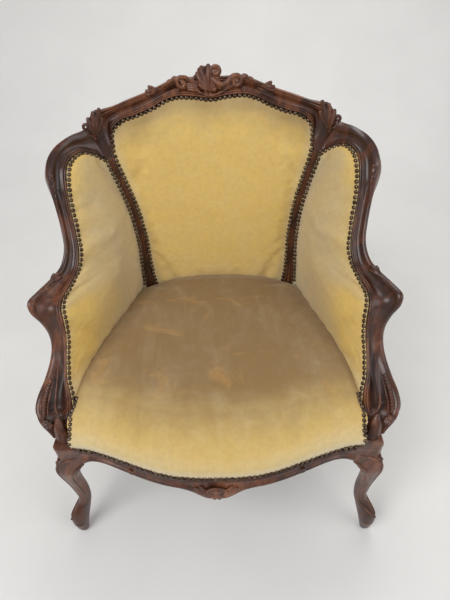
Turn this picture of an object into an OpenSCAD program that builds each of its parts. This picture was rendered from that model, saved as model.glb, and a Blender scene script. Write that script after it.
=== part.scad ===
// Upholstered tub armchair: a moulded and carved show-wood frame on cabriole legs, with a
// sprung seat and padded back and wings. Millimetres; +X to the right seen from the front,
// +Y to the back, +Z up. The origin is on the floor under the middle of the chair.

/* [Overall] */
// Height of the crest moulding beside its carved middle
crest_z = 958; // [945:1:972]
// Height of the crest's outer corners
corner_z = 905; // [895:1:915]
// Height of the wings' shoulders
shoulder_z = 857; // [850:1:864]
// Height of the elbows of the arms
elbow_z = 619; // [611:1:627]
// Height of the top of the seat rails
rail_top = 396; // [392:1:400]
// Width between the crest's outer corners
corner_span = 524; // [510:1:538]
// Width over the shoulders of the wings
shoulder_span = 738; // [724:1:752]
// Width over the wings at their narrow waist
waist_span = 694; // [682:1:706]
// Width over the elbows
elbow_span = 810; // [796:1:824]
// Distance from the middle to the front of the seat
seat_reach = 357; // [350:1:364]
// Width of the back panel at the seat
back_foot_span = 368; // [362:1:374]

/* [Frame] */
// Thickness of the crest, wings, arms and arm supports
frame_t = 32; // [29:0.5:34]
// Depth of the stiles behind their front face
stile_t = 36; // [33:0.5:39]
// Width of each stile's shoulder under the covers
stile_lip = 9; // [7:0.5:10]
// Size across the flats of the block at the top of a front leg
block_w = 60; // [56:1:64]
// Thickness of the side and back seat rails
rail_t = 26; // [22:1:30]
// Height of the side and back seat rails
rail_h = 60; // [54:1:64]
// Thickness of the front seat rail behind its face
front_rail_t = 28; // [24:1:32]
// Width of a front leg at its ankle
ankle_w = 30; // [26:1:34]
// Width of a rear leg at the floor
rear_foot_w = 26; // [22:1:30]
// Radius of the joint dowels
dowel_r = 5; // [4:0.5:6]
// Length of the joint dowels
dowel_l = 36; // [30:1:42]
// Clearance round a dowel and at its ends
dowel_gap = 0.15; // [0.1:0.05:0.3]
// Length of the rails' tenons
tenon_l = 18; // [14:1:22]
// Thickness of the rails' tenons
tenon_t = 10; // [8:1:12]

/* [Upholstery] */
// Thickness of the covering cloth
cover_t = 1.5; // [1:0.1:2]
// Clearance between one layer and the next
layer_gap = 0.3; // [0.2:0.05:0.5]
// Greatest thickness of the side pads
side_pad_t = 22; // [18:1:25]
// Thickness of the side pads where they meet the show-wood
side_pad_edge = 8; // [6:0.5:9]
// Thickness of the back pad
back_pad_t = 26; // [22:1:29]
// Height of the seat above its rails at the front edge of its crown
seat_rise = 46; // [40:1:52]
// Extra crown in the middle of the seat
seat_crown = 16; // [10:1:20]
// Width of the webbing
web_w = 50; // [44:1:56]
// Thickness of the webbing
web_t = 1.2; // [1:0.1:1.6]
// Radius of a seat spring at its ends
spring_r = 34; // [30:1:38]
// Radius of a seat spring at its waist
spring_waist_r = 22; // [18:1:26]
// Thickness of the spring wire
wire_d = 3.4; // [3:0.1:4]
// Distance between the seat springs
spring_pitch = 118; // [110:1:122]

/* [Hidden] */

walnut = "#4a2618";
beech = "#b08a5c";
velvet = "#cfae5a";
wadding = "#e6e0d0";
jute = "#8f7a50";
steel = "#8b8d90";
black_cloth = "#26242a";

hair = 0.15;            // glue line left between pieces that meet face to face
edge_gap = 1.4;         // nailed edge of a cover to the show-wood beside it
outside_gap = 0.9;      // outside covers to the posts under them
roll_gap = 4.4;         // outside covers to the back of the rounded show-wood
sheet_z = 4.2;          // height of the pads over the rails, above the hessian

cx = corner_span / 2;
sx = shoulder_span / 2;
wx = waist_span / 2;
ex = elbow_span / 2;
bx = back_foot_span / 2;

// Depths of the frame's landmarks
crest_y = 311;
corner_y = 250;
shoulder_y = 130;
elbow_y = -80;
block_x = ex - 72;
block_y = 99 - seat_reach;
foot_y = block_y + 60;
seat_back_y = 203;
rear_toe_y = 370;

// ---- curves ----------------------------------------------------------------------------

function unit(v) = v / norm(v);
function mix(a, b, f) = a + (b - a) * f;
function flip(p) = [-p[0], p[1], p[2]];

// Smooth curve through four neighbouring points
function through(a, b, c, d, t) =
  0.5 * (2 * b + (c - a) * t + (2 * a - 5 * b + 4 * c - d) * t * t
    + (3 * b - a - 3 * c + d) * t * t * t);

// Point at station u of a curve through the points P
function at(P, u) =
  let (k = min(max(floor(u), 0), len(P) - 2), t = u - k)
  through(P[max(k - 1, 0)], P[k], P[k + 1], P[min(k + 2, len(P) - 1)], t);

// The same for a curve that goes on, mirrored, across the middle of the chair
function across(P, u) =
  let (s = abs(u), k = min(floor(s), len(P) - 2), t = s - k,
    a = k == 0 ? flip(P[1]) : P[k - 1],
    p = through(a, P[k], P[k + 1], P[min(k + 2, len(P) - 1)], t))
  u < 0 ? flip(p) : p;

function steps(a, b, n) = [for (i = [0:n]) mix(a, b, i / n)];

// Closed solid through rings that all have the same number of points. The end faces are
// single polygons, or the triangles in ends where a section is hollow and lies at a slant.
module skin(rings, ends = []) {
  n = len(rings[0]);
  m = len(rings);
  last = (m - 1) * n;
  sides = [for (j = [0:m - 2], i = [0:n - 1])
    let (a = j * n + i, b = j * n + (i + 1) % n)
    each [[a, b, a + n], [b, b + n, a + n]]];
  caps = len(ends) > 0
    ? concat([for (t = ends) [t[0], t[2], t[1]]], [for (t = ends) [last + t[0], last + t[1], last + t[2]]])
    : [[for (i = [n - 1:-1:0]) i], [for (i = [0:n - 1]) last + i]];
  polyhedron([for (r = rings) each r], concat(caps, sides));
}

// Closed solid between a grid of points and a second grid under it
module slab(top, under) {
  m = len(top);
  n = len(top[0]);
  u0 = m * n;
  faces_top = [for (j = [0:m - 2], i = [0:n - 2])
    let (a = j * n + i)
    each [[a, a + n, a + 1], [a + 1, a + n, a + n + 1]]];
  faces_under = [for (f = faces_top) [u0 + f[0], u0 + f[2], u0 + f[1]]];
  rim = concat([for (i = [0:n - 1]) i], [for (j = [1:m - 1]) j * n + n - 1],
    [for (i = [n - 2:-1:0]) (m - 1) * n + i], [for (j = [m - 2:-1:1]) j * n]);
  walls = [for (k = [0:len(rim) - 1])
    let (a = rim[k], b = rim[(k + 1) % len(rim)])
    each [[a, b, u0 + a], [b, u0 + b, u0 + a]]];
  polyhedron(concat([for (r = top) each r], [for (r = under) each r]),
    concat(faces_top, faces_under, walls));
}

// ---- guides of the show-wood, right-hand side ------------------------------------------
// One ribbon runs from the middle of the crest over the corner and the wing to the arm,
// turns down at the elbow and ends on the leg. OUT is its outer edge, INN its nailed edge.

OUT = [
  [0, crest_y, crest_z - 2], [40, crest_y - 2, crest_z], [80, crest_y - 7, crest_z],
  [112, crest_y - 14, crest_z - 11], [150, crest_y - 23, crest_z - 24],
  [cx - 72, corner_y + 27, corner_z + 18], [cx - 37, corner_y + 16, corner_z + 8],
  [cx - 14, corner_y + 6, corner_z + 5], [cx, corner_y, corner_z],
  [cx + 14, corner_y - 3, corner_z - 15], [cx + 33, corner_y - 12, corner_z - 33],
  [sx - 47, shoulder_y + 84, shoulder_z + 11], [sx - 18, shoulder_y + 60, shoulder_z],
  [sx - 3, shoulder_y + 28, shoulder_z - 15], [sx, shoulder_y, shoulder_z - 37],
  [sx - 3, shoulder_y - 12, shoulder_z - 62], [wx + 12, shoulder_y - 30, elbow_z + 126],
  [wx + 5, shoulder_y - 52, elbow_z + 84], [wx, shoulder_y - 80, elbow_z + 49],
  [wx + 7, elbow_y + 100, elbow_z + 22], [ex - 33, elbow_y + 70, elbow_z + 9],
  [ex - 11, elbow_y + 32, elbow_z + 2], [ex, elbow_y, elbow_z],
  [ex - 2, elbow_y - 10, elbow_z - 23], [ex - 14, elbow_y - 6, elbow_z - 57],
  [ex - 21, elbow_y - 4, elbow_z - 91], [ex - 23, elbow_y - 14, rail_top + 101],
  [ex - 19, elbow_y - 38, rail_top + 74], [ex - 11, foot_y + 43, rail_top + 53],
  [ex - 3, foot_y, rail_top + 40], [ex - 3, foot_y - 28, rail_top + 22],
  [ex - 25, foot_y - 54, rail_top + 3]];
INN = [
  [0, crest_y - 10, crest_z - 46], [36, crest_y - 10, crest_z - 41],
  [76, crest_y - 12, crest_z - 38], [108, crest_y - 18, crest_z - 44],
  [144, crest_y - 27, crest_z - 59], [cx - 82, corner_y + 25, corner_z - 17],
  [cx - 50, corner_y + 15, corner_z - 24], [cx - 26, corner_y + 4, corner_z - 45],
  [cx - 21, corner_y - 5, corner_z - 97], [cx, corner_y - 12, corner_z - 108],
  [cx + 14, corner_y - 22, corner_z - 93],
  [sx - 62, shoulder_y + 81, shoulder_z - 28], [sx - 44, shoulder_y + 52, shoulder_z - 31],
  [sx - 38, shoulder_y + 25, shoulder_z - 45], [sx - 37, shoulder_y + 2, shoulder_z - 77],
  [sx - 39, shoulder_y - 15, shoulder_z - 109], [wx - 21, shoulder_y - 32, elbow_z + 99],
  [wx - 27, shoulder_y - 54, elbow_z + 64], [wx - 32, shoulder_y - 82, elbow_z + 33],
  [wx - 27, elbow_y + 102, elbow_z + 6], [ex - 76, elbow_y + 64, elbow_z - 5],
  [ex - 67, elbow_y + 30, elbow_z - 13], [ex - 66, elbow_y + 5, elbow_z - 24],
  [ex - 69, elbow_y - 10, elbow_z - 41], [ex - 71, elbow_y - 22, elbow_z - 66],
  [ex - 71, elbow_y - 38, elbow_z - 91], [ex - 70, elbow_y - 55, rail_top + 112],
  [ex - 70, elbow_y - 72, rail_top + 94], [ex - 72, foot_y + 23, rail_top + 70],
  [ex - 79, foot_y + 2, rail_top + 44], [ex - 79, foot_y - 17, rail_top + 14],
  [ex - 71, foot_y - 42, rail_top - 8]];

// Stations on the ribbon where its pieces meet
crest_end = 10;
wing_end = 18;
arm_end = 24.5;
foot_station = 29.5;

// Direction that the ribbon faces at each station, from its run over two stations each way
FACING = [for (k = [0:len(OUT) - 1])
  let (a = k - 2, b = min(k + 2, len(OUT) - 1),
    from = a < 0 ? flip(OUT[-a]) + flip(INN[-a]) : OUT[a] + INN[a])
  unit(cross(OUT[b] + INN[b] - from, OUT[k] - INN[k]))];

// How far the wood is cut back behind its nailed edge, to take the wrapped side pads
function undercut(u) = lookup(abs(u), [[0, 0], [13, 0], [16, 9], [19, 14], [31, 14]]);

// Moulded section: place across the ribbon and height above its face
function ribbon_section(w, t, cut) =
  let (dish = min(9, w * 0.13))
  [[cut * 1.5, -t], [cut, -6.5], [0, -4.5], [0, -1], [2.5, 1.5], [5.5, 0.5], [7, -1.5],
    [mix(7, w - 17, 0.35), -dish], [mix(7, w - 17, 0.75), -dish], [w - 15, -1],
    [w - 12.5, 2.5], [w - 10, 0.5], [w - 6, 3.5], [w - 2, 1.5],
    [w - 1.5, -t * 0.35], [w - 7, -t]];

// Triangles that fill a moulded section
SECTION = [[2, 3, 4], [2, 4, 5], [2, 5, 6], [1, 2, 6], [1, 6, 7], [0, 1, 7], [0, 7, 8],
  [0, 8, 15], [8, 9, 15], [9, 10, 15], [10, 11, 15], [11, 12, 15], [12, 13, 15], [13, 14, 15]];

// One ring of the ribbon at station u
function ribbon_frame(u) =
  let (i = across(INN, u), o = across(OUT, u), w = norm(o - i), wh = (o - i) / w,
    f = across(FACING, u), n = unit(f - wh * (f * wh)))
  [i, wh, n, w];
function ribbon_ring(u) =
  let (f = ribbon_frame(u))
  [for (q = ribbon_section(f[3], frame_t, undercut(u))) f[0] + f[1] * q[0] + f[2] * q[1]];
function ribbon_point(u, w, n) =
  let (f = ribbon_frame(u))
  f[0] + f[1] * w + f[2] * n;

// ---- stile guides: nailed edges of the back panel and of the wing ----------------------

STI = [
  [cx - 20, corner_y - 6, corner_z - 103], [cx - 23, corner_y - 8, corner_z - 119],
  [cx - 31, corner_y - 9, corner_z - 150], [cx - 44, corner_y - 12, corner_z - 199],
  [cx - 55, corner_y - 16, corner_z - 245], [bx + 16, corner_y - 21, corner_z - 293],
  [bx + 11, seat_back_y + 21, rail_top + 164], [bx + 10, seat_back_y + 14, rail_top + 119],
  [bx + 6, seat_back_y + 7, rail_top + 65], [bx, seat_back_y + 2, rail_top + 24],
  [bx - 1, seat_back_y, rail_top + sheet_z]];
STO = [
  [cx - 5, corner_y - 10.5, corner_z - 110], [cx - 10, corner_y - 12, corner_z - 120],
  [cx - 19, corner_y - 13, corner_z - 151], [cx - 32, corner_y - 16, corner_z - 199],
  [cx - 42.5, corner_y - 19.5, corner_z - 245], [bx + 28.5, corner_y - 24.5, corner_z - 293],
  [bx + 24.5, seat_back_y + 17, rail_top + 165], [bx + 25, seat_back_y + 10, rail_top + 119],
  [bx + 25.5, seat_back_y + 2, rail_top + 67], [bx + 26, seat_back_y - 5, rail_top + 24],
  [bx + 24, seat_back_y - 6, rail_top + sheet_z]];

function stile_frame(k) =
  let (i = at(STI, k), o = at(STO, k), w = norm(o - i), wh = (o - i) / w,
    run = at(STI, min(k + 0.5, 10)) - at(STI, max(k - 0.5, 0)), n0 = cross(run, wh))
  [i, wh, unit(n0), w];
function stile_side(k) = lookup(k, [[0, 3], [1.5, stile_lip]]);
function stile_point(k, w, n) =
  let (f = stile_frame(k))
  f[0] + f[1] * w + f[2] * n;

// ---- helpers for joints ----------------------------------------------------------------

// Places its children with their Z axis along a direction
module facing(p, d) {
  translate(p) rotate([0, acos(d[2] / norm(d)), atan2(d[1], d[0])]) children();
}

// Middle and run of the ribbon at a joint, for a dowel at a share of its width
function joint_axis(u, share) =
  let (f = ribbon_frame(u), cut = undercut(u))
  [f[0] + f[1] * mix(cut, f[3] - 4, share) - f[2] * frame_t * 0.58, cross(f[1], f[2])];

// Dowels of the right-hand side: place and direction
foot_dowel = [[block_x + 14, block_y + 15, rail_top - 35], [0, 0, 1]];
DOWELS = [joint_axis(crest_end, 0.28), joint_axis(crest_end, 0.72),
  joint_axis(wing_end, 0.5), joint_axis(arm_end, 0.5), foot_dowel];

module dowel_rods(r, l) {
  for (d = DOWELS) facing(d[0], d[1]) cylinder(r = r, h = l, center = true, $fn = 24);
}
module dowel_sockets() {
  dowel_rods(dowel_r + dowel_gap, dowel_l + 2 * dowel_gap);
}

// ---- show-wood -------------------------------------------------------------------------

// Ribbon between two stations, less half the glue line at each end
module ribbon(u0, u1, n) {
  skin([for (u = steps(u0, u1, n)) ribbon_ring(u)], SECTION);
}

// Tapering carved tendril through points with a radius each, flattened across the wood
function tendril_rings(P, R, n) =
  [for (k = steps(0, len(P) - 1, n))
    let (p = at(P, k), run = unit(at(P, min(k + 0.1, len(P) - 1)) - at(P, max(k - 0.1, 0))),
      a = unit(cross(run, [0, 1, 0.12])), b = cross(a, run),
      r = lookup(k, [for (i = [0:len(R) - 1]) [i, R[i]]]))
    [for (t = [0:60:300]) p + a * r * cos(t) + b * r * 0.8 * sin(t)]];
module tendril(P, R, n) {
  skin(tendril_rings(P, R, n));
}

// Fluted fan of a shell or spray, standing on its hinge. reach is its length at each side,
// and depth how deep the flutes are cut at its tips.
module fan(p, reach, relief, lobes, from, to, depth = 0.012) {
  a = steps(from, to, lobes * 3);
  rings = [for (s = [0.18, 0.5, 0.8, 1])
    [for (t = a)
      let (q = (t - from) / (to - from), wave = cos(q * lobes * 360),
        r = mix(reach[0], reach[1], q) * s * (1 - depth * (1 - wave) * s))
      p + [r * cos(t), -relief * (1 + 0.1 * wave) * (1 - pow(s, 3) * 0.55), r * sin(t)]]];
  backs = [for (ring = rings) [for (q = ring) [q[0], p[1] + 9, q[2]]]];
  slab(backs, rings);
}

shell_y = crest_y + 6;
shell_z = crest_z - 22;

module crest_carving() {
  // rocaille shell with its bead
  fan([0, shell_y, shell_z], [49, 49], 15, 7, 12, 168);
  translate([0, shell_y - 12, shell_z + 6]) sphere(r = 9, $fn = 20);
  for (s = [1, -1]) {
    // scroll leaf that rolls up beside the shell, and the leaf tuft beyond it
    tendril([[s * 24, shell_y, shell_z - 2], [s * 42, shell_y - 4, shell_z + 12],
      [s * 62, shell_y - 6, shell_z + 22], [s * 74, shell_y - 8, shell_z + 10],
      [s * 64, shell_y - 9, shell_z + 6]], [7, 8, 7, 5, 4], 7);
    tendril([[s * 84, shell_y - 12, shell_z + 2], [s * 108, shell_y - 19, shell_z + 7],
      [s * 130, shell_y - 27, shell_z - 4]], [6, 9, 5], 4);
  }
}

// Acanthus spray that crowns a corner: a fan of flutes that grow longer towards the crest,
// with a scroll curling over on its outer side
module corner_spray() {
  stem = [cx + 9, corner_y - 8, corner_z - 46];
  fan(stem, [48, 63], 13, 4, 66, 114, 0.05);
  tendril([stem + [6, -1, -4], stem + [13, -3, 7], stem + [19.5, -5, 18], stem + [22, -7, 30],
    stem + [18, -8, 30]], [5, 5.5, 5.5, 4.5, 3.5], 7);
}

// Stations of the crest's rings, closer together round its corners
HALF = [0.5, 1.25, 2, 2.75, 3.5, 4.5, 5.5, 6.25, 7, 7.5, 8, 8.5, 9, 9.5, crest_end];
CREST = concat([for (k = [len(HALF) - 1:-1:0]) -HALF[k]], HALF);

module crest_rail() {
  color(walnut) difference() {
    union() {
      skin([for (u = CREST) ribbon_ring(u)], SECTION);
      crest_carving();
      corner_spray();
      mirror([1, 0, 0]) corner_spray();
    }
    dowel_sockets();
    mirror([1, 0, 0]) dowel_sockets();
  }
}

module wing_rail() {
  difference() {
    ribbon(crest_end + 0.006, wing_end - 0.006, 16);
    dowel_sockets();
  }
}
module wing_rail_right() { color(walnut) wing_rail(); }
module wing_rail_left() { color(walnut) mirror([1, 0, 0]) wing_rail(); }

module arm() {
  difference() {
    ribbon(wing_end, arm_end - 0.006, 13);
    dowel_sockets();
  }
}
module arm_right() { color(walnut) arm(); }
module arm_left() { color(walnut) mirror([1, 0, 0]) arm(); }

block_top = rail_top - 30;
// Ring where the arm support stands on the leg: level, turned a little outwards
function foot_ring() =
  let (i = [block_x + 1, block_y - 5, block_top + hair], n = unit([0.25, -1, 0]),
    wh = [-n[1], n[0], 0])
  [for (q = ribbon_section(38, 26, 2)) i + wh * q[0] + n * q[1]];

module arm_support() {
  upper = [for (u = steps(arm_end, foot_station, 10)) ribbon_ring(u)];
  last = upper[10];
  foot = foot_ring();
  bend = [for (k = [0:len(foot) - 1]) mix(last[k], foot[k], 0.55) + [3, -5, 3]];
  difference() {
    skin(concat(upper, [bend, foot]), SECTION);
    dowel_sockets();
  }
}
module arm_support_right() { color(walnut) arm_support(); }
module arm_support_left() { color(walnut) mirror([1, 0, 0]) arm_support(); }

// ---- posts and legs --------------------------------------------------------------------

function stile_section(w, lip) =
  [[-lip, -stile_t], [-lip, -3.2], [-0.2, -3], [0.8, 0], [w / 2, 1.5],
    [w - 0.8, 0], [w + 0.2, -3], [w + lip, -3.2], [w + lip, -stile_t],
    [w / 2, -stile_t - 0.01]];
function stile_ring(k) =
  let (f = stile_frame(k))
  [for (q = stile_section(f[3], stile_side(k))) f[0] + f[1] * q[0] + f[2] * q[1]];

// Rear leg: place of its front face, half width and depth at each height
post_x = bx + 11.5;
post_half = 18;
rear_half = rear_foot_w / 2;
rail_foot = rail_top - rail_h;
REAR = [[rail_top, post_x, seat_back_y, post_half, stile_t],
  [rail_foot, post_x, seat_back_y + 2, post_half, stile_t],
  [rail_foot * 0.744, post_x + 3.5, seat_back_y + 18, post_half - 1, stile_t - 2],
  [rail_foot * 0.565, post_x + 8, seat_back_y + 39, post_half - 2, stile_t - 5],
  [rail_foot * 0.387, post_x + 15, seat_back_y + 66, rear_half + 1.5, stile_t - 7],
  [rail_foot * 0.238, post_x + 23, seat_back_y + 91, rear_half + 0.5, stile_t - 9],
  [rail_foot * 0.119, post_x + 30, seat_back_y + 112, rear_half, stile_t - 10],
  [14, post_x + 35, rear_toe_y - 37, rear_half + 1, stile_t - 7],
  [0, post_x + 37, rear_toe_y - 30, rear_half + 1, stile_t - 6]];
function rear_ring(s) =
  let (h = s[3], d = s[4], c = 5)
  [for (q = [[-h, -d], [-h, -c], [-h + c / 2, -c / 3], [-h / 2, 0], [0, 0.5], [h / 2, 0],
    [h - c / 2, -c / 3], [h, -c], [h, -d], [0, -d - 0.01]])
    [s[1] + q[0], s[2] - q[1], s[0]]];

module back_post() {
  difference() {
    skin(concat([for (k = steps(0, 9.8, 14)) stile_ring(k)],
      [for (s = REAR) rear_ring(s)]));
    side_tenon(dowel_gap, post_x + post_half);
    back_tenon(dowel_gap);
  }
}
module back_post_right() { color(walnut) back_post(); }
module back_post_left() { color(walnut) mirror([1, 0, 0]) back_post(); }

// Front leg: height, reach outwards and inwards from the block's middle on the diagonal,
// half width across it and squareness (1 is a square standing on its corner)
diag = block_w / sqrt(2);
cant = 36;
ankle = ankle_w / 2;
CABRIOLE = [[block_top, diag, diag, diag, 1], [block_top - 44, diag, diag, diag, 1],
  [block_top - 62, 49, 34, 38, 1.15], [block_top - 86, 51, 8, 31, 1.3],
  [block_top - 110, 49, -3, ankle + 10, 1.45],
  [232, 45, -7, ankle + 6.5, 1.6], [205, 41, -6, ankle + 3, 1.7], [170, 38, -4, ankle + 1, 1.8],
  [140, 37.5, -5, ankle, 1.8], [118, 42, -8, ankle, 1.8], [103, 56, -12, ankle, 1.8],
  [86, 71, -18, ankle, 2], [66, 77, -26, ankle + 1, 2], [42, 76, -35, ankle + 1, 2],
  [18, 73, -42, ankle - 1, 2], [5, 69, -46, ankle - 3, 2], [0, 66, -48, ankle - 5, 2]];
function power(c, p) = sign(c) * pow(abs(c), 2 / p);
function leg_ring(s) =
  let (mid = (s[1] - s[2]) / 2, a = (s[1] + s[2]) / 2)
  [for (t = [0:22.5:337.5])
    let (d = min(mid + a * power(cos(t), s[4]), s[4] > 1 ? 99 : cant),
      w = s[3] * power(sin(t), s[4]))
    [block_x + (d + w) / sqrt(2), block_y + (w - d) / sqrt(2), s[0]]];

module front_leg() {
  difference() {
    skin([for (s = CABRIOLE) leg_ring(s)]);
    dowel_sockets();
    front_tenon(dowel_gap);
    side_tenon(dowel_gap, 0);
  }
}
module front_leg_right() { color(walnut) front_leg(); }
module front_leg_left() { color(walnut) mirror([1, 0, 0]) front_leg(); }

// ---- seat rails ------------------------------------------------------------------------

block_in = block_x - block_w / 2;
block_back = block_y + block_w / 2;
tenon_h = 22;
tenon_z = rail_foot + 5;

// Serpentine of the front rail's face, from the middle to the leg
FRONT = [[0, -seat_reach], [block_in * 0.18, -seat_reach + 1],
  [block_in * 0.33, -seat_reach + 7], [block_in * 0.48, -seat_reach + 20],
  [block_in * 0.63, -seat_reach + 37], [block_in * 0.775, block_y - 46],
  [block_in * 0.89, block_y - 35], [block_in, block_y - 30],
  [block_x, block_y - 28]];
function front_y(x) = lookup(abs(x), [for (k = steps(0, 8, 32)) at(FRONT, k)]);

// Carved lower edge of the front rail
EDGE = [[0, rail_foot - 43], [20, rail_foot - 42], [38, rail_foot - 27], [56, rail_foot - 11],
  [80, rail_foot - 2], [110, rail_foot - 1], [block_in - 118, rail_foot],
  [block_in - 83, rail_foot + 4], [block_in - 53, rail_foot + 6],
  [block_in - 23, rail_foot - 2], [block_in, rail_foot - 18]];
function edge_z(x) = lookup(abs(x), EDGE);

nail_z = rail_top - 34;     // where the seat cover is nailed to the front rail

function front_section(zb) =
  let (h = nail_z - zb)
  [[-front_rail_t, rail_top], [-front_rail_t, rail_foot], [-12, rail_foot],
    [-10, min(zb + 6, rail_foot - 1)], [-3, zb], [4, zb + 1], [8, zb + h * 0.12],
    [6.5, zb + h * 0.3], [2, zb + h * 0.42], [0.5, zb + h * 0.62], [1.5, nail_z - 5],
    [4, nail_z - 2.5], [0.5, nail_z], [-5, nail_z + 0.5], [-5, rail_top]];
FRONT_ENDS = [[0, 1, 13], [0, 13, 14], [1, 2, 13], [2, 12, 13], [10, 11, 12], [2, 10, 12],
  [2, 9, 10], [2, 8, 9], [2, 3, 8], [3, 4, 8], [4, 5, 8], [5, 7, 8], [5, 6, 7]];
function front_ring(x) =
  [for (q = front_section(edge_z(x))) [x, front_y(x) - q[0], q[1]]];

module front_tenon(gap) {
  translate([block_in - 1, front_y(block_in) + 8 - gap, tenon_z - gap])
    cube([tenon_l + 1 + gap, tenon_t + 2 * gap, tenon_h + 2 * gap]);
}

cartouche_relief = 10.94;   // the lobes end clear of the rail's lower edge
module rail_cartouche() {
  fan([0, front_y(0) - 1, rail_foot - 34], [24, 24], cartouche_relief, 5, 14, 166);
  translate([0, front_y(0) - 6, rail_foot - 30]) sphere(r = 7, $fn = 16);
  for (s = [1, -1])
    tendril([[s * 22, front_y(22) - 5, rail_foot - 24], [s * 40, front_y(40) - 6, rail_foot - 10],
      [s * 62, front_y(62) - 6, rail_foot + 8], [s * 84, front_y(84) - 5, rail_foot + 6],
      [s * 92, front_y(92) - 4, rail_foot + 14]], [4, 6, 6, 4.5, 2.5], 7);
}

module front_rail() {
  color(walnut) union() {
    skin([for (x = steps(-block_in + hair, block_in - hair, 24)) front_ring(x)], FRONT_ENDS);
    rail_cartouche();
    front_tenon(0);
    mirror([1, 0, 0]) front_tenon(0);
  }
}

// Middle line of a side rail in plan, from the front leg to the post
post_side = post_x + post_half;
SIDE = [[block_in + 17, block_back + hair], [block_in + 11, block_back + 78],
  [block_in - 2, block_back + 188],
  [mix(block_in, post_side, 0.235), mix(block_back, seat_back_y, 0.668)], [post_side + 39, seat_back_y - 63],
  [post_side + 15, seat_back_y - 8], [post_side + hair, seat_back_y + 18]];
RAIL_STOPS = [0.6, 1.6, 2.6, 3.6, 4.5];
function side_across(k) =
  let (run = at(SIDE, min(k + 0.2, 6)) - at(SIDE, max(k - 0.2, 0)))
  k == 0 ? [1, 0] : k == 6 ? [0, 1] : unit([run[1], -run[0]]);
function side_ring(k) =
  let (p = at(SIDE, k), a = side_across(k) * rail_t / 2)
  [for (q = [[-1, rail_foot], [1, rail_foot], [1, rail_top], [-1, rail_top]])
    [p[0] + a[0] * q[0], p[1] + a[1] * q[0], q[1]]];

// Tenon of the side rail: into the leg where x is 0, else into the post at x
module side_tenon(gap, x) {
  if (x == 0)
    translate([SIDE[0][0] - tenon_t / 2 - gap, block_back - tenon_l - gap, tenon_z - gap])
      cube([tenon_t + 2 * gap, tenon_l + 1 + gap, tenon_h + 2 * gap]);
  else
    translate([x - tenon_l * 0.6 - gap, SIDE[6][1] - tenon_t / 2 - gap, tenon_z - gap])
      cube([tenon_l * 0.6 + 1 + gap, tenon_t + 2 * gap, 40 + 2 * gap]);
}

module side_rail() {
  union() {
    skin([for (k = concat([0], RAIL_STOPS, [5, 6])) side_ring(k)]);
    side_tenon(0, 0);
    side_tenon(0, post_side);
  }
}
module side_rail_right() { color(beech) side_rail(); }
module side_rail_left() { color(beech) mirror([1, 0, 0]) side_rail(); }

// Back rail, bowed to the back between the posts
back_bow = 24;
back_in = post_x - post_half;
function back_mid(x) = seat_back_y + 15 + back_bow * (1 - pow(x / back_in, 2));
function back_rail_ring(x) =
  [for (q = [[-1, rail_foot], [-1, rail_top], [1, rail_top], [1, rail_foot]])
    [x, back_mid(x) + q[0] * rail_t / 2, q[1]]];
module back_tenon(gap) {
  translate([back_in - 1, back_mid(back_in) - tenon_t / 2 - gap, tenon_z - gap])
    cube([tenon_l * 0.6 + 1 + gap, tenon_t + 2 * gap, 40 + 2 * gap]);
}
module back_rail() {
  color(beech) union() {
    skin([for (x = steps(-back_in + hair, back_in - hair, 10)) back_rail_ring(x)]);
    back_tenon(0);
    mirror([1, 0, 0]) back_tenon(0);
  }
}

// ---- joint and frame hardware ----------------------------------------------------------

module frame_dowels() {
  color(beech) {
    dowel_rods(dowel_r, dowel_l);
    mirror([1, 0, 0]) dowel_rods(dowel_r, dowel_l);
  }
}

// Triangular braces glued into the corners of the seat frame
block_h = 40;
module front_brace() {
  x = block_in - hair;
  leg = 64;
  behind = [for (t = steps(0, leg, 4)) [x - t, front_y(x - t) + front_rail_t + 2 * hair]];
  translate([0, 0, rail_foot + 6]) linear_extrude(height = block_h)
    polygon(concat(behind, [[x, behind[0][1] + leg]]));
}
module back_brace() {
  x = back_in;
  y = seat_back_y - hair;
  translate([0, 0, rail_foot + 6]) linear_extrude(height = block_h)
    polygon([[x - 44, y], [x + 26, y], [x + 36, y - 18], [x + 26, y - 36], [x + 10, y - 40]]);
}
module corner_blocks() {
  color(beech)
    for (m = [0, 1]) mirror([m, 0, 0]) {
      front_brace();
      back_brace();
    }
}

// ---- side panels -----------------------------------------------------------------------
// A side panel is ruled between the stile and the ribbon and bowed towards the sitter.
// Its rows run from the top corner of the wing (v = 0) to the seat rail (v = 1).

seat_row = 0.94;            // row where the panel meets the seat
function row_stile(v) = 0.15 + 9.85 * pow(v, 1.1);
first_station = 9.2;
last_station = 30.2;
function row_ribbon(v) = mix(first_station, last_station, v);
function row_bow(v) =
  lookup(v, [[0, 0], [0.15, 8], [0.4, 15], [0.65, 11], [0.87, -3], [seat_row, -10], [1, -8]]);

function panel_near(v) =
  let (k = row_stile(v), f = stile_frame(k))
  f[0] + f[1] * (f[3] + stile_side(k) + 1.6) + f[2] * -3;
function panel_lip(v) =
  let (k = row_stile(v), f = stile_frame(k))
  f[0] + f[1] * (f[3] + 1.8) + f[2] * -3;
function panel_far(v) = ribbon_point(row_ribbon(v), -edge_gap, -2.2);
function panel_face(v) =
  let (s = max(v, 0.14), d = panel_far(s) - panel_near(s), h = unit([d[1], -d[0], 0]))
  unit(h + [0, 0, 0.3]);
function panel_point(v, u, lift) =
  let (a = panel_near(v), b = panel_far(v), f = panel_face(v))
  mix(a, b, u) + f * (row_bow(v) * 4 * u * (1 - u) + lift);

panel_rows = [for (b = [first_station, 10, 11, 12.5, 14, 16, 18, 19.5, 21, 22, 22.5, 23,
  23.5, 24.5, 26, 27, 28, 29, 29.5, last_station])
  (b - first_station) / (last_station - first_station)];
panel_cols = [0, 0.2, 0.45, 0.7, 0.93, 1];

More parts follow.
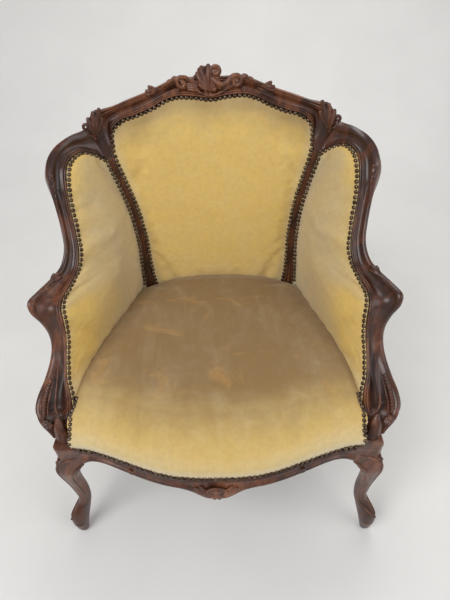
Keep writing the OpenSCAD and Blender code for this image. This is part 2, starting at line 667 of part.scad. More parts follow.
function side_cover_grid(lift) =
  [for (v = panel_rows)
    concat([panel_lip(v) + panel_face(v) * lift],
      [for (u = panel_cols) panel_point(v, u, lift)])];

module side_cover() {
  slab(side_cover_grid(layer_gap), side_cover_grid(layer_gap + cover_t));
}
module side_cover_right() { color(velvet) side_cover(); }
module side_cover_left() { color(velvet) mirror([1, 0, 0]) side_cover(); }

function side_pad_depth(u) =
  lookup(u, [[0, side_pad_t * 0.6], [0.3, side_pad_t], [0.6, side_pad_t * 0.8], [0.93, side_pad_edge]]);
function side_pad_grid(part) =
  [for (v = panel_rows) if (v > 0 && v < 0.97)
    [for (u = panel_cols) if (u < 1) panel_point(v, u, -part * side_pad_depth(u))]];
module side_pad() {
  slab(side_pad_grid(1), side_pad_grid(0));
}
module side_pad_right() { color(wadding) side_pad(); }
module side_pad_left() { color(wadding) mirror([1, 0, 0]) side_pad(); }

// Outside cover, from the back of the post round to the arm and down to the side rail
function outside_near(v) =
  let (k = row_stile(v), f = stile_frame(min(k, 9)))
  stile_point(min(k, 9), f[3] + stile_lip - 1, -stile_t - outside_gap)
    + (k > 9 ? [0, 0, (9 - k) * 24] : [0, 0, 0]);
function outside_far(v) =
  let (u = row_ribbon(v), f = ribbon_frame(u))
  ribbon_point(u, f[3] - 11, -frame_t - roll_gap);
function outside_face(v) = -panel_face(v);
outside_bow = 16;
function outside_grid(lift) =
  let (low = rail_foot + 2)
  concat([for (v = panel_rows) if (v > 0 && v < 0.97)
    [for (u = steps(0, 1, 5))
      mix(outside_near(v), outside_far(v), u)
        + outside_face(v) * (lift + outside_bow * 4 * u * (1 - u))]],
    [[for (k = [5.6, each [for (i = [4:-1:0]) RAIL_STOPS[i]]])
      let (p = at(SIDE, k), a = side_across(k) * (rail_t / 2 + outside_gap + lift))
      [p[0] + a[0], p[1] + a[1], low]]]);
module outside_arm_cover() {
  slab(outside_grid(cover_t), outside_grid(0));
}
module outside_arm_cover_right() { color(velvet) outside_arm_cover(); }
module outside_arm_cover_left() { color(velvet) mirror([1, 0, 0]) outside_arm_cover(); }

// ---- back panel ------------------------------------------------------------------------
// A patch between the two stiles, the crest and the seat, bowed forwards in the middle.

back_face = unit([0, -1, 0.15]);
corner_station = 7;

// Right-hand edge of the panel from the seat (v = 0) to the corner under the crest
function back_edge(v, in) =
  v < 0.88
    ? let (f = stile_frame(10 - v / 0.88 * 9.8)) f[0] - f[1] * in + f[2] * -3
    : ribbon_point(mix(8, corner_station, (v - 0.88) / 0.12), -in * 0.3 - edge_gap - 2, -3);
function back_top(u) = ribbon_point(u * corner_station, -edge_gap - 0.8, -3);
function back_foot(u, in) =
  let (e = back_edge(0, in))
  [u * e[0], e[1] + back_bow * (1 - u * u), e[2]];

// Coons patch between the four edges; u runs from -1 to 1 and v from 0 to 1
function back_point(u, v, in, lift) =
  let (e = back_edge(v, in), l = flip(e), s = (u + 1) / 2,
    c0 = back_edge(0, in), c1 = back_top(1),
    flat = mix(mix(flip(c0), c0, s), mix(flip(c1), c1, s), v),
    bow = 18 * sin(180 * pow(v, 0.8)) * (1 - u * u))
  mix(back_foot(u, in), back_top(u), v) + mix(l, e, s) - flat + back_face * (bow + lift);

back_rows = [0, 0.016, 0.1, 0.22, 0.36, 0.5, 0.64, 0.77, 0.84, 0.88, 0.91, 0.94, 0.97, 1];
back_cols = [-1, -0.94, -0.75, -0.5, -0.25, 0, 0.25, 0.5, 0.75, 0.94, 1];
function back_grid(rows, in, lift, cols) =
  [for (v = rows) [for (u = cols) back_point(u, v, in, lift)]];
function back_cover_grid(lift) =
  [for (v = back_rows)
    let (e = back_edge(v, 1.8) + back_face * lift,
      mid = [for (u = back_cols) back_point(u, v, stile_lip + 1.6, lift)])
    concat([flip(e)], mid, [e])];

module back_cover() {
  color(velvet) slab(back_cover_grid(layer_gap + cover_t), back_cover_grid(layer_gap));
}
module back_pad() {
  rows = [for (v = back_rows) if (v > 0 && v < 1) v];
  cols = [for (u = back_cols) if (abs(u) < 1) u];
  color(wadding) slab(back_grid(rows, stile_lip + 1.6, 0, cols),
    back_grid(rows, stile_lip + 1.6, -back_pad_t, cols));
}

// Upright webbing strips from the back rail to the crest, behind the pad
module back_webbing() {
  color(jute)
    for (k = [-2:2]) {
      u = k * 0.36;
      half = web_w / 2 / norm(back_point(1, 0.5, 12, 0) - back_point(0, 0.5, 12, 0));
      rows = [0.016, 0.3, 0.64, 0.88, 0.97];
      cols = [u - half * 0.8, u, u + half * 0.8];
      slab(back_grid(rows, stile_lip + 1.6, -back_pad_t - 1.1, cols),
        back_grid(rows, stile_lip + 1.6, -back_pad_t - 1.1 - web_t, cols));
    }
}

// Outside back, nailed to the back faces of the posts, the crest and the back rail
function outside_edge(v) =
  v < 0.1 ? let (f = stile_point(9, 4, -stile_t - outside_gap))
      mix([back_in + 8, seat_back_y + stile_t + outside_gap + 1.5, rail_foot + 2], f, v / 0.1)
    : v < 0.86 ? stile_point(9 - (v - 0.1) / 0.76 * 8.5, 4, -stile_t - mix(outside_gap, roll_gap, v))
    : ribbon_point(mix(8, corner_station, (v - 0.86) / 0.14), 12, -frame_t - roll_gap);
function outside_back_point(u, v, lift) =
  let (e = outside_edge(v), l = flip(e), s = (u + 1) / 2,
    c0 = outside_edge(0), c1 = outside_edge(1),
    foot = [u * c0[0], c0[1] + back_bow * (1 - u * u), c0[2]],
    top = ribbon_point(u * corner_station, 12, -frame_t - 2),
    flat = mix(mix(flip(c0), c0, s), mix(flip(c1), c1, s), v))
  mix(foot, top, v) + mix(l, e, s) - flat - back_face * lift;
module outside_back_cover() {
  rows = [0, 0.1, 0.2, 0.3, 0.41, 0.52, 0.63, 0.74, 0.8, 0.86, 0.93, 1];
  grid = function(lift) [for (v = rows) [for (u = steps(-1, 1, 10))
    outside_back_point(u, v, lift)]];
  color(velvet) slab(grid(0), grid(cover_t));
}

// ---- seat ------------------------------------------------------------------------------

// Right-hand edge of the seat, from its front corner (v = 0) to the stile (v = 1)
seat_gap = 4;
CORNER = [[block_x - 14, block_y - 16], [block_x - 6, block_y + 12],
  [block_x - 12, block_y + 36], [block_x - 16, foot_y + 2]];
function seat_side(v) =
  v < 0.12 ? at(CORNER, v / 0.12 * 3)
    : let (u = 1 - (v - 0.12) / 0.88, p = panel_point(seat_row, max(u, 0.01) * 0.97, seat_gap))
      v == 1 ? [post_x - 4, seat_back_y - 5] : [p[0], p[1]];
function seat_front(u) = [u * CORNER[0][0], front_y(u * CORNER[0][0]) + 3];
function seat_back(u) =
  abs(u) == 1 ? [u * seat_side(1)[0], seat_side(1)[1]]
    : let (p = back_point(u, 0.06, stile_lip + 1.6, seat_gap)) [p[0], p[1]];
function seat_plan(u, v) =
  let (r = seat_side(v), l = [-r[0], r[1]], s = (u + 1) / 2,
    f0 = [CORNER[0][0], seat_front(1)[1]], b0 = seat_side(1),
    flat = mix(mix([-f0[0], f0[1]], f0, s), mix([-b0[0], b0[1]], b0, s), v))
  mix(seat_front(u), seat_back(u), v) + mix(l, r, s) - flat;
function seat_height(u, v) =
  rail_top + 4 + seat_rise * (1 - pow(1 - v, 7))
    + seat_crown * sin(180 * pow(v, 0.8)) * (1 - u * u) - 18 * pow(u, 4) * v * v;

seat_rows = [0, 0.02, 0.06, 0.12, 0.2, 0.3, 0.44, 0.6, 0.76, 0.9, 1];
seat_cols = [-1, -0.93, -0.78, -0.6, -0.4, -0.2, 0, 0.2, 0.4, 0.6, 0.78, 0.93, 1];
function seat_grid(shrink, lift) =
  [for (v = seat_rows) [for (u = seat_cols)
    let (p = seat_plan(u, v), c = [0, -60], q = p + (c - p) * shrink)
    [q[0], q[1], seat_height(u, v) + lift]]];
function seat_base() =
  [for (v = seat_rows) [for (u = seat_cols)
    let (p = seat_plan(u, v), c = [0, -60], q = p + (c - p) * 0.05)
    [q[0], q[1], rail_top + 1.6]]];

module seat_pad() {
  color(wadding) slab(seat_grid(0.008, 0), seat_base());
}
module seat_cover() {
  rows = seat_grid(0, layer_gap);
  skirt = function(out, z) [for (u = seat_cols)
    let (x = u * CORNER[0][0], foot = abs(x) > block_in - 32 ? block_top + 1 : 0)
      [x, front_y(x) + 2.8 - out, max(z, foot)]];
  color(velvet) slab(
    concat([skirt(cover_t, nail_z + 1.5)], [skirt(cover_t, rail_top)], seat_grid(0, layer_gap + cover_t)),
    concat([skirt(0, nail_z + 1.5)], [skirt(0, rail_top)], rows));
}

// Outline of the sheets over and under the seat frame: middle of the rails in plan
function frame_outline(front_in, side_out) =
  let (half = concat(
      [for (x = [0, 60, 120, 180, 240, block_in - 4]) [x, front_y(x) + front_in]],
      [[block_in - 4, block_back + 8]],
      [for (k = [0.4, 1, 2, 3, 4, 4.6]) at(SIDE, k) + side_across(k) * side_out],
      [[back_in - 4, seat_back_y - 14], [back_in - 8, back_mid(back_in - 8)],
        [110, back_mid(110)], [55, back_mid(55)]]))
  concat([for (p = half) p], [[0, back_mid(0)]],
    [for (k = [len(half) - 1:-1:1]) [-half[k][0], half[k][1]]]);

module spring_hessian() {
  color(jute) translate([0, 0, rail_top + 0.2]) linear_extrude(height = 1)
    polygon(frame_outline(12, 0));
}
module dust_cover() {
  color(black_cloth) translate([0, 0, rail_foot - 4.4]) linear_extrude(height = 0.8)
    polygon(frame_outline(16, 0));
}

// ---- webbing and springs ---------------------------------------------------------------

web_z = rail_foot - 2;
weave = web_t / 2 + 0.12;
// Middle of the front row of springs, and how far the strips lie apart each way
first_row = 157 - seat_reach;
web_pitch = [66, 74];
WEB_X = [for (k = [-2:2]) k * web_pitch[0]];
WEB_Y = [for (k = [0:5]) first_row + 4 + k * web_pitch[1]];

// Side view of one strip that passes over and under its neighbours
function strip_profile(stops, from, to, phase) =
  let (ends = web_z + weave + 0.1,
    line = concat([[from, ends]],
      [for (k = [0:len(stops) - 1]) for (d = [-0.62, 0.62])
        [stops[k] + d * web_w, web_z + ((k + phase) % 2 == 0 ? weave : -weave)]],
      [[to, ends]]))
  concat([for (p = line) [p[0], p[1] + web_t / 2]],
    [for (k = [len(line) - 1:-1:0]) [line[k][0], line[k][1] - web_t / 2]]);

// Where a strip across the seat ends, under the side rail
function rail_x(y) = lookup(-y, [for (k = steps(0, 5, 20)) let (p = at(SIDE, k)) [-p[1], p[0]]]);

module seat_webbing() {
  color(jute) {
    for (j = [0:len(WEB_Y) - 1]) {
      x = rail_x(WEB_Y[j] + web_w / 2) - 4;
      stops = [for (s = WEB_X) if (abs(s) < x - web_w) s];
      translate([0, WEB_Y[j] + web_w / 2, 0]) rotate([90, 0, 0])
        linear_extrude(height = web_w) polygon(strip_profile(stops, -x, x, j));
    }
    for (i = [0:len(WEB_X) - 1]) {
      y0 = front_y(abs(WEB_X[i]) + web_w / 2) + 18;
      y1 = back_mid(WEB_X[i] * 1.1) + 4;
      translate([WEB_X[i] - web_w / 2, 0, 0]) rotate([90, 0, 90])
        linear_extrude(height = web_w) polygon(strip_profile(WEB_Y, y0, y1, i + 1));
    }
  }
}

// One double-cone spring standing on the webbing
turns = 3;
module spring(x, y) {
  foot = web_z + weave + web_t + 0.3 + wire_d / 2;
  top = rail_top - 0.3 - wire_d / 2;
  rings = [for (t = steps(0, 1, turns * 4))
    let (r = mix(spring_waist_r, spring_r, pow(abs(2 * t - 1), 1.4)), a = t * turns * 360,
      e = [cos(a), sin(a), 0], p = [x, y, mix(foot, top, t)] + e * r)
    [for (q = [0:90:270]) p + e * wire_d / 2 * cos(q) + [0, 0, wire_d / 2 * sin(q)]]];
  skin(rings);
}
module seat_springs() {
  color(steel)
    for (j = [0:2], i = [-1:1])
      spring(i * spring_pitch, first_row + j * spring_pitch);
}

crest_rail();
wing_rail_left();
wing_rail_right();
arm_left();
arm_right();
arm_support_left();
arm_support_right();
back_post_left();
back_post_right();
front_leg_left();
front_leg_right();
front_rail();
side_rail_left();
side_rail_right();
back_rail();
corner_blocks();
frame_dowels();
seat_webbing();
seat_springs();
spring_hessian();
seat_pad();
seat_cover();
dust_cover();
back_webbing();
back_pad();
back_cover();
outside_back_cover();
side_pad_left();
side_pad_right();
side_cover_left();
side_cover_right();
outside_arm_cover_left();
outside_arm_cover_right();
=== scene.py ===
import math
import bpy, bmesh
from mathutils import Vector, Matrix, noise
from mathutils.bvhtree import BVHTree


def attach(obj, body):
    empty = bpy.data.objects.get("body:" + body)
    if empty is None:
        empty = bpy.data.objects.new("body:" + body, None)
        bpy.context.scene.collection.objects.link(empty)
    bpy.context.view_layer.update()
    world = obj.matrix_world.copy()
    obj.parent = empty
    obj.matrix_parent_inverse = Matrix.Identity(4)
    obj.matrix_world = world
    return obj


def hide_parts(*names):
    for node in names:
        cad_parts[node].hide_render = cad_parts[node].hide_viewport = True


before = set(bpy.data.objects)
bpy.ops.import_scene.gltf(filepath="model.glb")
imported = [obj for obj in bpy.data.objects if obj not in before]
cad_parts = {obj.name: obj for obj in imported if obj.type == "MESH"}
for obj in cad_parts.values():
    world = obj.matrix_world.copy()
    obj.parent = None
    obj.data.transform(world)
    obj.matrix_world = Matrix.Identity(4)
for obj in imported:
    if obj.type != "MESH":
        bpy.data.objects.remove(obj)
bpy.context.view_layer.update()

print("frame loaded:", len(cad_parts), "nodes")


cameraSettings = {
    "place": (0.057, -0.824, 1.266),
    "lens": 27.54,
    "down": 41.24,   # degrees below level
    "turn": -2.38,   # degrees to the right of the chair's middle line
    "roll": -2.83,
    "sensor": 36, "near": 0.02,
}


def makeCamera(s):
    p, y, r = (math.radians(s[k]) for k in ("down", "turn", "roll"))
    ahead = Vector((math.sin(y) * math.cos(p), math.cos(y) * math.cos(p), -math.sin(p)))
    level = Vector((math.cos(y), -math.sin(y), 0))
    over = level.cross(ahead)
    right = level * math.cos(r) + over * math.sin(r)
    up = over * math.cos(r) - level * math.sin(r)
    data = bpy.data.cameras.new("camera")
    data.lens = s["lens"]
    data.sensor_width, data.clip_start = s["sensor"], s["near"]
    cam = bpy.data.objects.new("camera", data)
    bpy.context.scene.collection.objects.link(cam)
    cam.matrix_world = Matrix((right, up, -ahead)).transposed().to_4x4()
    cam.matrix_world.translation = Vector(s["place"])
    bpy.context.scene.camera = cam


makeCamera(cameraSettings)


def mm(*rows):   # points in millimetres
    return [Vector(r) / 1000 for r in rows]


def mix(a, b, t):
    return a + (b - a) * t


def smooth(a, b, t):   # 0 before a, 1 after b
    t = min(max((t - a) / (b - a), 0.0), 1.0)
    return t * t * (3 - 2 * t)


def flip(p):
    return Vector((-p.x, p.y, p.z))


def table(t, stops):   # straight lines between (place, value) pairs
    if t <= stops[0][0]:
        return stops[0][1]
    for (a, va), (b, vb) in zip(stops, stops[1:]):
        if t <= b:
            return mix(va, vb, (t - a) / (b - a))
    return stops[-1][1]


def spline(a, b, c, d, t):
    return (b * 2 + (c - a) * t + (a * 2 - b * 5 + c * 4 - d) * t * t
            + (b * 3 - a - c * 3 + d) * t ** 3) * 0.5


def along(points, u):
    k = min(max(int(math.floor(u)), 0), len(points) - 2)
    return spline(points[max(k - 1, 0)], points[k], points[k + 1],
                  points[min(k + 2, len(points) - 1)], u - k)


def across(points, u):   # the same for a curve that goes on, mirrored, over the middle
    s = abs(u)
    k = min(int(math.floor(s)), len(points) - 2)
    before = flip(points[1]) if k == 0 else points[k - 1]
    p = spline(before, points[k], points[k + 1], points[min(k + 2, len(points) - 1)], s - k)
    return flip(p) if u < 0 else p


def span(a, b, n):
    return [mix(a, b, i / n) for i in range(n + 1)]


def meshPiece(name, points, faces, smoothShade=True):
    me = bpy.data.meshes.new(name)
    me.from_pydata([tuple(p) for p in points], [], faces)
    me.validate()
    me.update()
    ob = bpy.data.objects.new(name, me)
    bpy.context.scene.collection.objects.link(ob)
    if smoothShade:
        me.shade_smooth()
    return ob


def addValues(ob, name, values):
    layer = ob.data.attributes.new(name, "FLOAT", "POINT")
    layer.data.foreach_set("value", values)


def outward(ob):   # merges doubles and turns the faces out
    bm = bmesh.new()
    bm.from_mesh(ob.data)
    bmesh.ops.remove_doubles(bm, verts=bm.verts, dist=1e-6)
    bmesh.ops.recalc_face_normals(bm, faces=bm.faces)
    bm.to_mesh(ob.data)
    bm.free()
    return ob


def mirrored(ob, name):
    me = ob.data.copy()
    me.transform(Matrix.Scale(-1, 4, (1, 0, 0)))
    me.flip_normals()
    me.name = name
    other = bpy.data.objects.new(name, me)
    bpy.context.scene.collection.objects.link(other)
    return other


def loft(name, rings):   # closed rings of equal length, with a face at each end
    n = len(rings[0])
    points = [p for ring in rings for p in ring]
    faces = [(j * n + i, j * n + (i + 1) % n, (j + 1) * n + (i + 1) % n, (j + 1) * n + i)
             for j in range(len(rings) - 1) for i in range(n)]
    faces += [tuple(range(n - 1, -1, -1)), tuple((len(rings) - 1) * n + i for i in range(n))]
    return meshPiece(name, points, faces)


def distances(points):   # how far each point is along the line
    far = [0.0]
    for a, b in zip(points, points[1:]):
        far.append(far[-1] + (b - a).length)
    return far


def paced(point, a, b, step, n=300, least=6, counted=round):   # shares at even distances along a line
    far = distances([point(t) for t in span(a, b, n)])
    count, got, k = max(least, counted(far[-1] / step)), [], 0
    for j in range(count + 1):
        goal = far[-1] * j / count
        while k < n - 1 and far[k + 1] < goal:
            k += 1
        got.append(mix(a, b, (k + (goal - far[k]) / max(far[k + 1] - far[k], 1e-9)) / n))
    return got


def patch(low, high, edge, c0, c1, u, v):   # a mirrored panel between its lower, upper and side edges
    s = (u + 1) / 2
    flat = flip(c0).lerp(c0, s).lerp(flip(c1).lerp(c1, s), v)
    return low.lerp(high, v) + flip(edge).lerp(edge, s) - flat


def applied(ob):   # the object's mesh with its modifiers applied
    bpy.context.view_layer.update()
    got = bpy.data.meshes.new_from_object(ob.evaluated_get(bpy.context.evaluated_depsgraph_get()))
    ob.modifiers.clear()
    old, ob.data = ob.data, got
    bpy.data.meshes.remove(old)
    return ob


# Guides of the show-wood on the right-hand side. The left side is its mirror image.
# The ribbon's outer edge and its nailed inner edge, from the crest's middle down to the leg.

outerEdge = mm(
    (0, 311, 956), (40, 309, 958), (80, 304, 958), (112, 297, 947), (150, 288, 934),
    (190, 277, 923), (225, 266, 913), (248, 256, 910), (262, 250, 905), (276, 247, 890),
    (295, 238, 872), (322, 214, 868), (351, 190, 857), (366, 158, 842), (369, 130, 820),
    (366, 118, 795), (359, 100, 745), (352, 78, 703), (347, 50, 668), (354, 20, 641),
    (372, -10, 628), (394, -48, 621), (405, -80, 619), (403, -90, 596), (391, -86, 562),
    (384, -84, 528), (382, -94, 497), (386, -118, 470), (394, -155, 449), (402, -198, 436),
    (402, -226, 418), (380, -252, 399))
innerEdge = mm(
    (0, 301, 912), (36, 301, 917), (76, 299, 920), (108, 293, 914), (144, 284, 899),
    (180, 275, 888), (212, 265, 881), (236, 254, 860), (241, 245, 808), (262, 238, 797),
    (276, 228, 812), (307, 211, 829), (325, 182, 826), (331, 155, 812), (332, 132, 780),
    (330, 115, 748), (326, 98, 718), (320, 76, 683), (315, 48, 652), (320, 22, 625),
    (329, -16, 614), (338, -50, 606), (339, -75, 595), (336, -90, 578), (334, -102, 553),
    (334, -118, 528), (335, -135, 508), (335, -152, 490), (333, -175, 466), (326, -196, 440),
    (326, -215, 410), (334, -240, 388))


woodSettings = {
    "depth": 0.032,        # of the crest, wings, arms and supports
    "crestEnd": 10,        # stations where the pieces meet
    "wingEnd": 18,
    "armEnd": 24.5,
    "footStation": 30.2,
    "ringStep": 0.0045,    # distance between the rings of a sweep
    "hollow": 0.19,        # depth of the channel as a share of the width
    "channel": 0.0105,     # its most
    "channelShares": [(0, 0.8), (7, 0.75), (9.5, 0.42), (19, 0.5), (21, 0.8), (31, 0.9)],
    "roll": 0.0172,        # where the channel ends and the outer roll begins
    "bead": 0.0104,        # where the nail bead ends and the channel begins
    "footHollow": 0.011,   # extra depth of the hollow at the foot of the support
    "shade": (0.008, 0.015, 0.017),   # the depths between which a channel gets painted shade, and its end
}


def ribbonFacings():
    got = []
    for k in range(len(outerEdge)):
        a, b = k - 2, min(k + 2, len(outerEdge) - 1)
        start = flip(outerEdge[-a] + innerEdge[-a]) if a < 0 else outerEdge[a] + innerEdge[a]
        run = outerEdge[b] + innerEdge[b] - start
        got.append(run.cross(outerEdge[k] - innerEdge[k]).normalized())
    return got


facings = ribbonFacings()


def ribbonFrame(u):   # inner edge, direction across, facing and width at station u
    i, o = across(innerEdge, u), across(outerEdge, u)
    w = (o - i).length
    wide = (o - i) / w
    f = across(facings, u)
    return i, wide, (f - wide * f.dot(wide)).normalized(), w


def ribbonPoint(u, w, n):   # w across the ribbon and n off its face
    f = ribbonFrame(u)
    return f[0] + f[1] * w + f[2] * n


def sharePoint(u, share):   # at a share of the ribbon's width
    f = ribbonFrame(u)
    return f[0] + f[1] * (f[3] * share)


def undercut(u):
    return table(abs(u), [(0, 0), (13, 0), (16, 0.009), (19, 0.014), (31, 0.014)])


# Three outer edges that blend along the ribbon: the crest's double roll, the plain round
# of the wing's shoulder and the broad single roll below its bead
doubleRoll = [(0.0172, -0.0010), (0.0162, 0.0006), (0.0150, 0.0014), (0.0139, 0.0008), (0.0132, -0.0006),
              (0.0126, 0.0006), (0.0116, 0.0024), (0.0100, 0.0034), (0.0084, 0.0030), (0.0073, 0.0014),
              (0.0068, 0.0002), (0.0062, 0.0012), (0.0050, 0.0028), (0.0034, 0.0032), (0.0018, 0.0022),
              (0.0006, 0.0)]
plainRound = [(x, 0.0016 - 0.0016 * ((0.0095 - x) / 0.0095) ** 2) for x, n in doubleRoll]
broadRoll = [(x, -0.0022 + 0.0056 * math.sin(math.pi * min(1, max(0, (0.0166 - x) / 0.0182))) ** 0.6)
             for x, n in doubleRoll]


# Moulding across the ribbon: nail bead, quirk, hollow and outer roll
def ribbonSection(u, w, s):
    e = min(1.0, w / 0.05)
    t, cut, v = s["depth"], undercut(u), abs(u)
    plain = smooth(7.4, 9.0, v) * (1 - smooth(14.5, 15.0, v))
    broad = smooth(14.5, 15.0, v)
    dish = min(s["channel"], w * s["hollow"]) * table(v, s["channelShares"])
    dish += s["footHollow"] * smooth(26, 28, v) * (1 - smooth(29.7, 30.2, v))
    tip = smooth(7.75, 8.15, v) * (1 - smooth(8.75, 9.1, v))   # where the stile carries on
    at = lambda x, n: (x * e, mix(n * e, 0.0004 + n * 0.15, tip))
    rows = [(cut * 1.5, -t), (cut * 1.15, -t * 0.6), (cut, -0.0068), (0.0005, -0.0048)]
    rows += [at(0, -0.003), at(0.0003, -0.0006), at(0.0012, 0.0009), at(0.0029, 0.0016),
             at(0.0046, 0.0010), at(0.0055, -0.0004), at(0.0060, -0.0016), at(0.0068, -0.0016),
             at(0.0076, -0.0008), at(0.0088, -0.0007), at(0.0099, -0.0014)]
    edges = [(x, mix(mix(n, m, plain), k, broad))
             for (x, n), (x, m), (x, k) in zip(doubleRoll, plainRound, broadRoll)]
    a, b = s["bead"] * e, w - s["roll"] * e
    for k in range(1, 12):
        q = k / 12
        low = mix(-0.0016 * e * (1 - tip), edges[0][1] * e, q)
        rows.append((mix(a, b, q), low - dish * math.sin(math.pi * q ** (0.9 + 0.8 * tip)) ** 0.85))
    rows += [(w - x * e, n * e) for x, n in edges]
    rows += [(w, -0.004), (w - 0.0012, -t * 0.36), (w - 0.003, -t * 0.62), (w - 0.0055, -t * 0.85),
             (w - 0.0075, -t)]
    return rows


def ribbonRing(u, s):
    i, wide, face, w = ribbonFrame(u)
    return [i + wide * x + face * n for x, n in ribbonSection(u, w, s)]


def stations(u0, u1, s):
    middle = lambda u: (ribbonPoint(u, 0, 0) + ribbonPoint(u, ribbonFrame(u)[3], 0)) / 2
    return paced(middle, u0, u1, s["ringStep"], 400, 4, int)


# Grain runs along a sweep; "recess" is 1 in the quirks of a section and -1 on its ridges
def sweepValues(ob, rings, sections, s=woodSettings):
    n = len(rings[0])
    length, grain, recess = 0.0, [], []
    for j, ring in enumerate(rings):
        if j:
            length += (ring[n // 2] - rings[j - 1][n // 2]).length
        rows = sections[j]
        for i in range(n):
            grain.append(length)
            a, b = rows[i - 1], rows[(i + 1) % n]
            line = Vector((b[0] - a[0], b[1] - a[1]))
            off = Vector((rows[i][0] - a[0], rows[i][1] - a[1]))
            bend = (line.x * off.y - line.y * off.x) / max(line.length, 1e-6)
            turn = bend / max(line.length, 1e-6)
            # painted shade: the deep part of a channel is added to the recess, so the walnut darkens there
            shallow, full, short = s["shade"]
            inside = s["bead"] <= rows[i][0] <= rows[-6][0] - short
            deep = smooth(shallow, full, -rows[i][1]) if inside else 0.0
            recess.append(max(-1.0, min(1.0, -turn * 5 + deep)))
    addValues(ob, "grain", grain)
    addValues(ob, "recess", recess)


def ribbon(name, u0, u1, s, tail=()):
    where = stations(u0, u1, s)
    rings = [ribbonRing(u, s) for u in where]
    sections = [ribbonSection(u, ribbonFrame(u)[3], s) for u in where]
    for ring in tail:
        rings.append(ring)
        sections.append(sections[-1])
    ob = loft(name, rings)
    sweepValues(ob, rings, sections)
    return ob


crest = ribbon("crestMoulding", -woodSettings["crestEnd"], woodSettings["crestEnd"], woodSettings)
wingRight = ribbon("wingRailRight", woodSettings["crestEnd"], woodSettings["wingEnd"], woodSettings)
armRight = ribbon("armRight", woodSettings["wingEnd"], woodSettings["armEnd"], woodSettings)
print("ribbons swept")

# Arm support, front leg, stile and rear leg

legSettings = {
    "block": (0.333, -0.258),     # middle of the block at the top of the front leg
    "blockTop": 0.366,
    "cant": 0.036,                # reach of the block's cut corner
    "rings": 92, "sides": 64,
}


def supportFoot(s, rows):
    bx, by = s["block"]
    start = Vector((bx + 0.001, by - 0.005, s["blockTop"] + 0.00015))
    face = Vector((0.25, -1, 0)).normalized()
    wide = Vector((-face.y, face.x, 0))
    return [start + wide * x + face * n for x, n in rows]


def makeSupport(name):
    s, leg = woodSettings, legSettings
    last = ribbonRing(s["footStation"], s)
    w = ribbonFrame(s["footStation"])[3]
    rows = []
    for x, n in ribbonSection(s["footStation"], w, s):
        rows.append((mix(0.002, 0.037, x / w), max(n * 0.6, -0.008) if n > -0.012 else n * 0.85))
    foot = supportFoot(leg, rows)
    tail = []
    for t in span(0, 1, 8)[1:]:
        ring = []
        for a, b in zip(last, foot):
            p = a.lerp(b, t)
            p += Vector((0.004, -0.006, 0.002)) * math.sin(math.pi * t) * (1 - t)
            ring.append(p)
        tail.append(ring)
    return ribbon(name, s["armEnd"], s["footStation"], s, tail)


supportRight = makeSupport("armSupportRight")

# Height, reach outwards and inwards on the diagonal, half width and squareness
cabriole = [
    (366, 42.4, 42.4, 42.4, 1), (345, 42.4, 42.4, 42.4, 1), (322, 45.5, 42.4, 44, 1),
    (304, 50, 36, 41, 1.08), (280, 52, 9, 33.5, 1.25), (256, 49, -3, 25, 1.45),
    (232, 45, -7, 21.5, 1.6), (205, 41, -6, 18, 1.7), (170, 38, -4, 16, 1.8),
    (140, 37.5, -5, 15, 1.8), (118, 42, -8, 15, 1.8), (103, 56, -12, 15, 1.8),
    (86, 71, -18, 15, 2), (66, 77, -26, 16, 2), (42, 76, -35, 16, 2), (18, 73, -42, 14, 2),
    (5, 69, -46, 12, 2), (0, 66, -48, 10, 2)]


def powered(c, p):
    return math.copysign(abs(c) ** (2 / p), c)


def legRing(row, s):
    z, far, near, half, p = row
    mid, a = (far - near) / 2000, (far + near) / 2000
    ring = []
    for k in range(s["sides"]):
        t = 2 * math.pi * k / s["sides"]
        d = mid + a * powered(math.cos(t), p)
        if p <= 1.02:
            d = min(d, s["cant"])
        w = half / 1000 * powered(math.sin(t), p)
        x, y = (d + w) / math.sqrt(2), (w - d) / math.sqrt(2)
        ring.append(Vector((s["block"][0] + x, s["block"][1] + y, z / 1000)))
    return ring


def rowsBetween(rows, u):
    k = min(int(u), len(rows) - 2)
    t = u - k
    a, b, c, d = rows[max(k - 1, 0)], rows[k], rows[k + 1], rows[min(k + 2, len(rows) - 1)]
    return tuple(0.5 * (2 * q + (r - p) * t + (2 * p - 5 * q + 4 * r - v) * t * t
                        + (3 * q - p - 3 * r + v) * t ** 3) for p, q, r, v in zip(a, b, c, d))


def makeLeg(name):
    rings, sections = [], []
    for u in span(0, len(cabriole) - 1, legSettings["rings"]):
        row = rowsBetween(cabriole, u)
        if u < 1.001:
            row = (row[0],) + cabriole[0][1:]
        # moulding round the block, under the arm support
        z = row[0]
        lip = 0.0012 * math.exp(-((z - 357) / 3.2) ** 2) - 0.0010 * math.exp(-((z - 350) / 2.2) ** 2)
        ring = legRing(row, legSettings)
        mid = sum(ring, Vector()) / len(ring)
        rings.append([p + Vector((p.x - mid.x, p.y - mid.y, 0)).normalized() * lip for p in ring])
        sections.append([(p.y, p.x) for p in ring])
    ob = loft(name, rings)
    sweepValues(ob, rings, sections)
    return ob


legRight = makeLeg("frontLegRight")

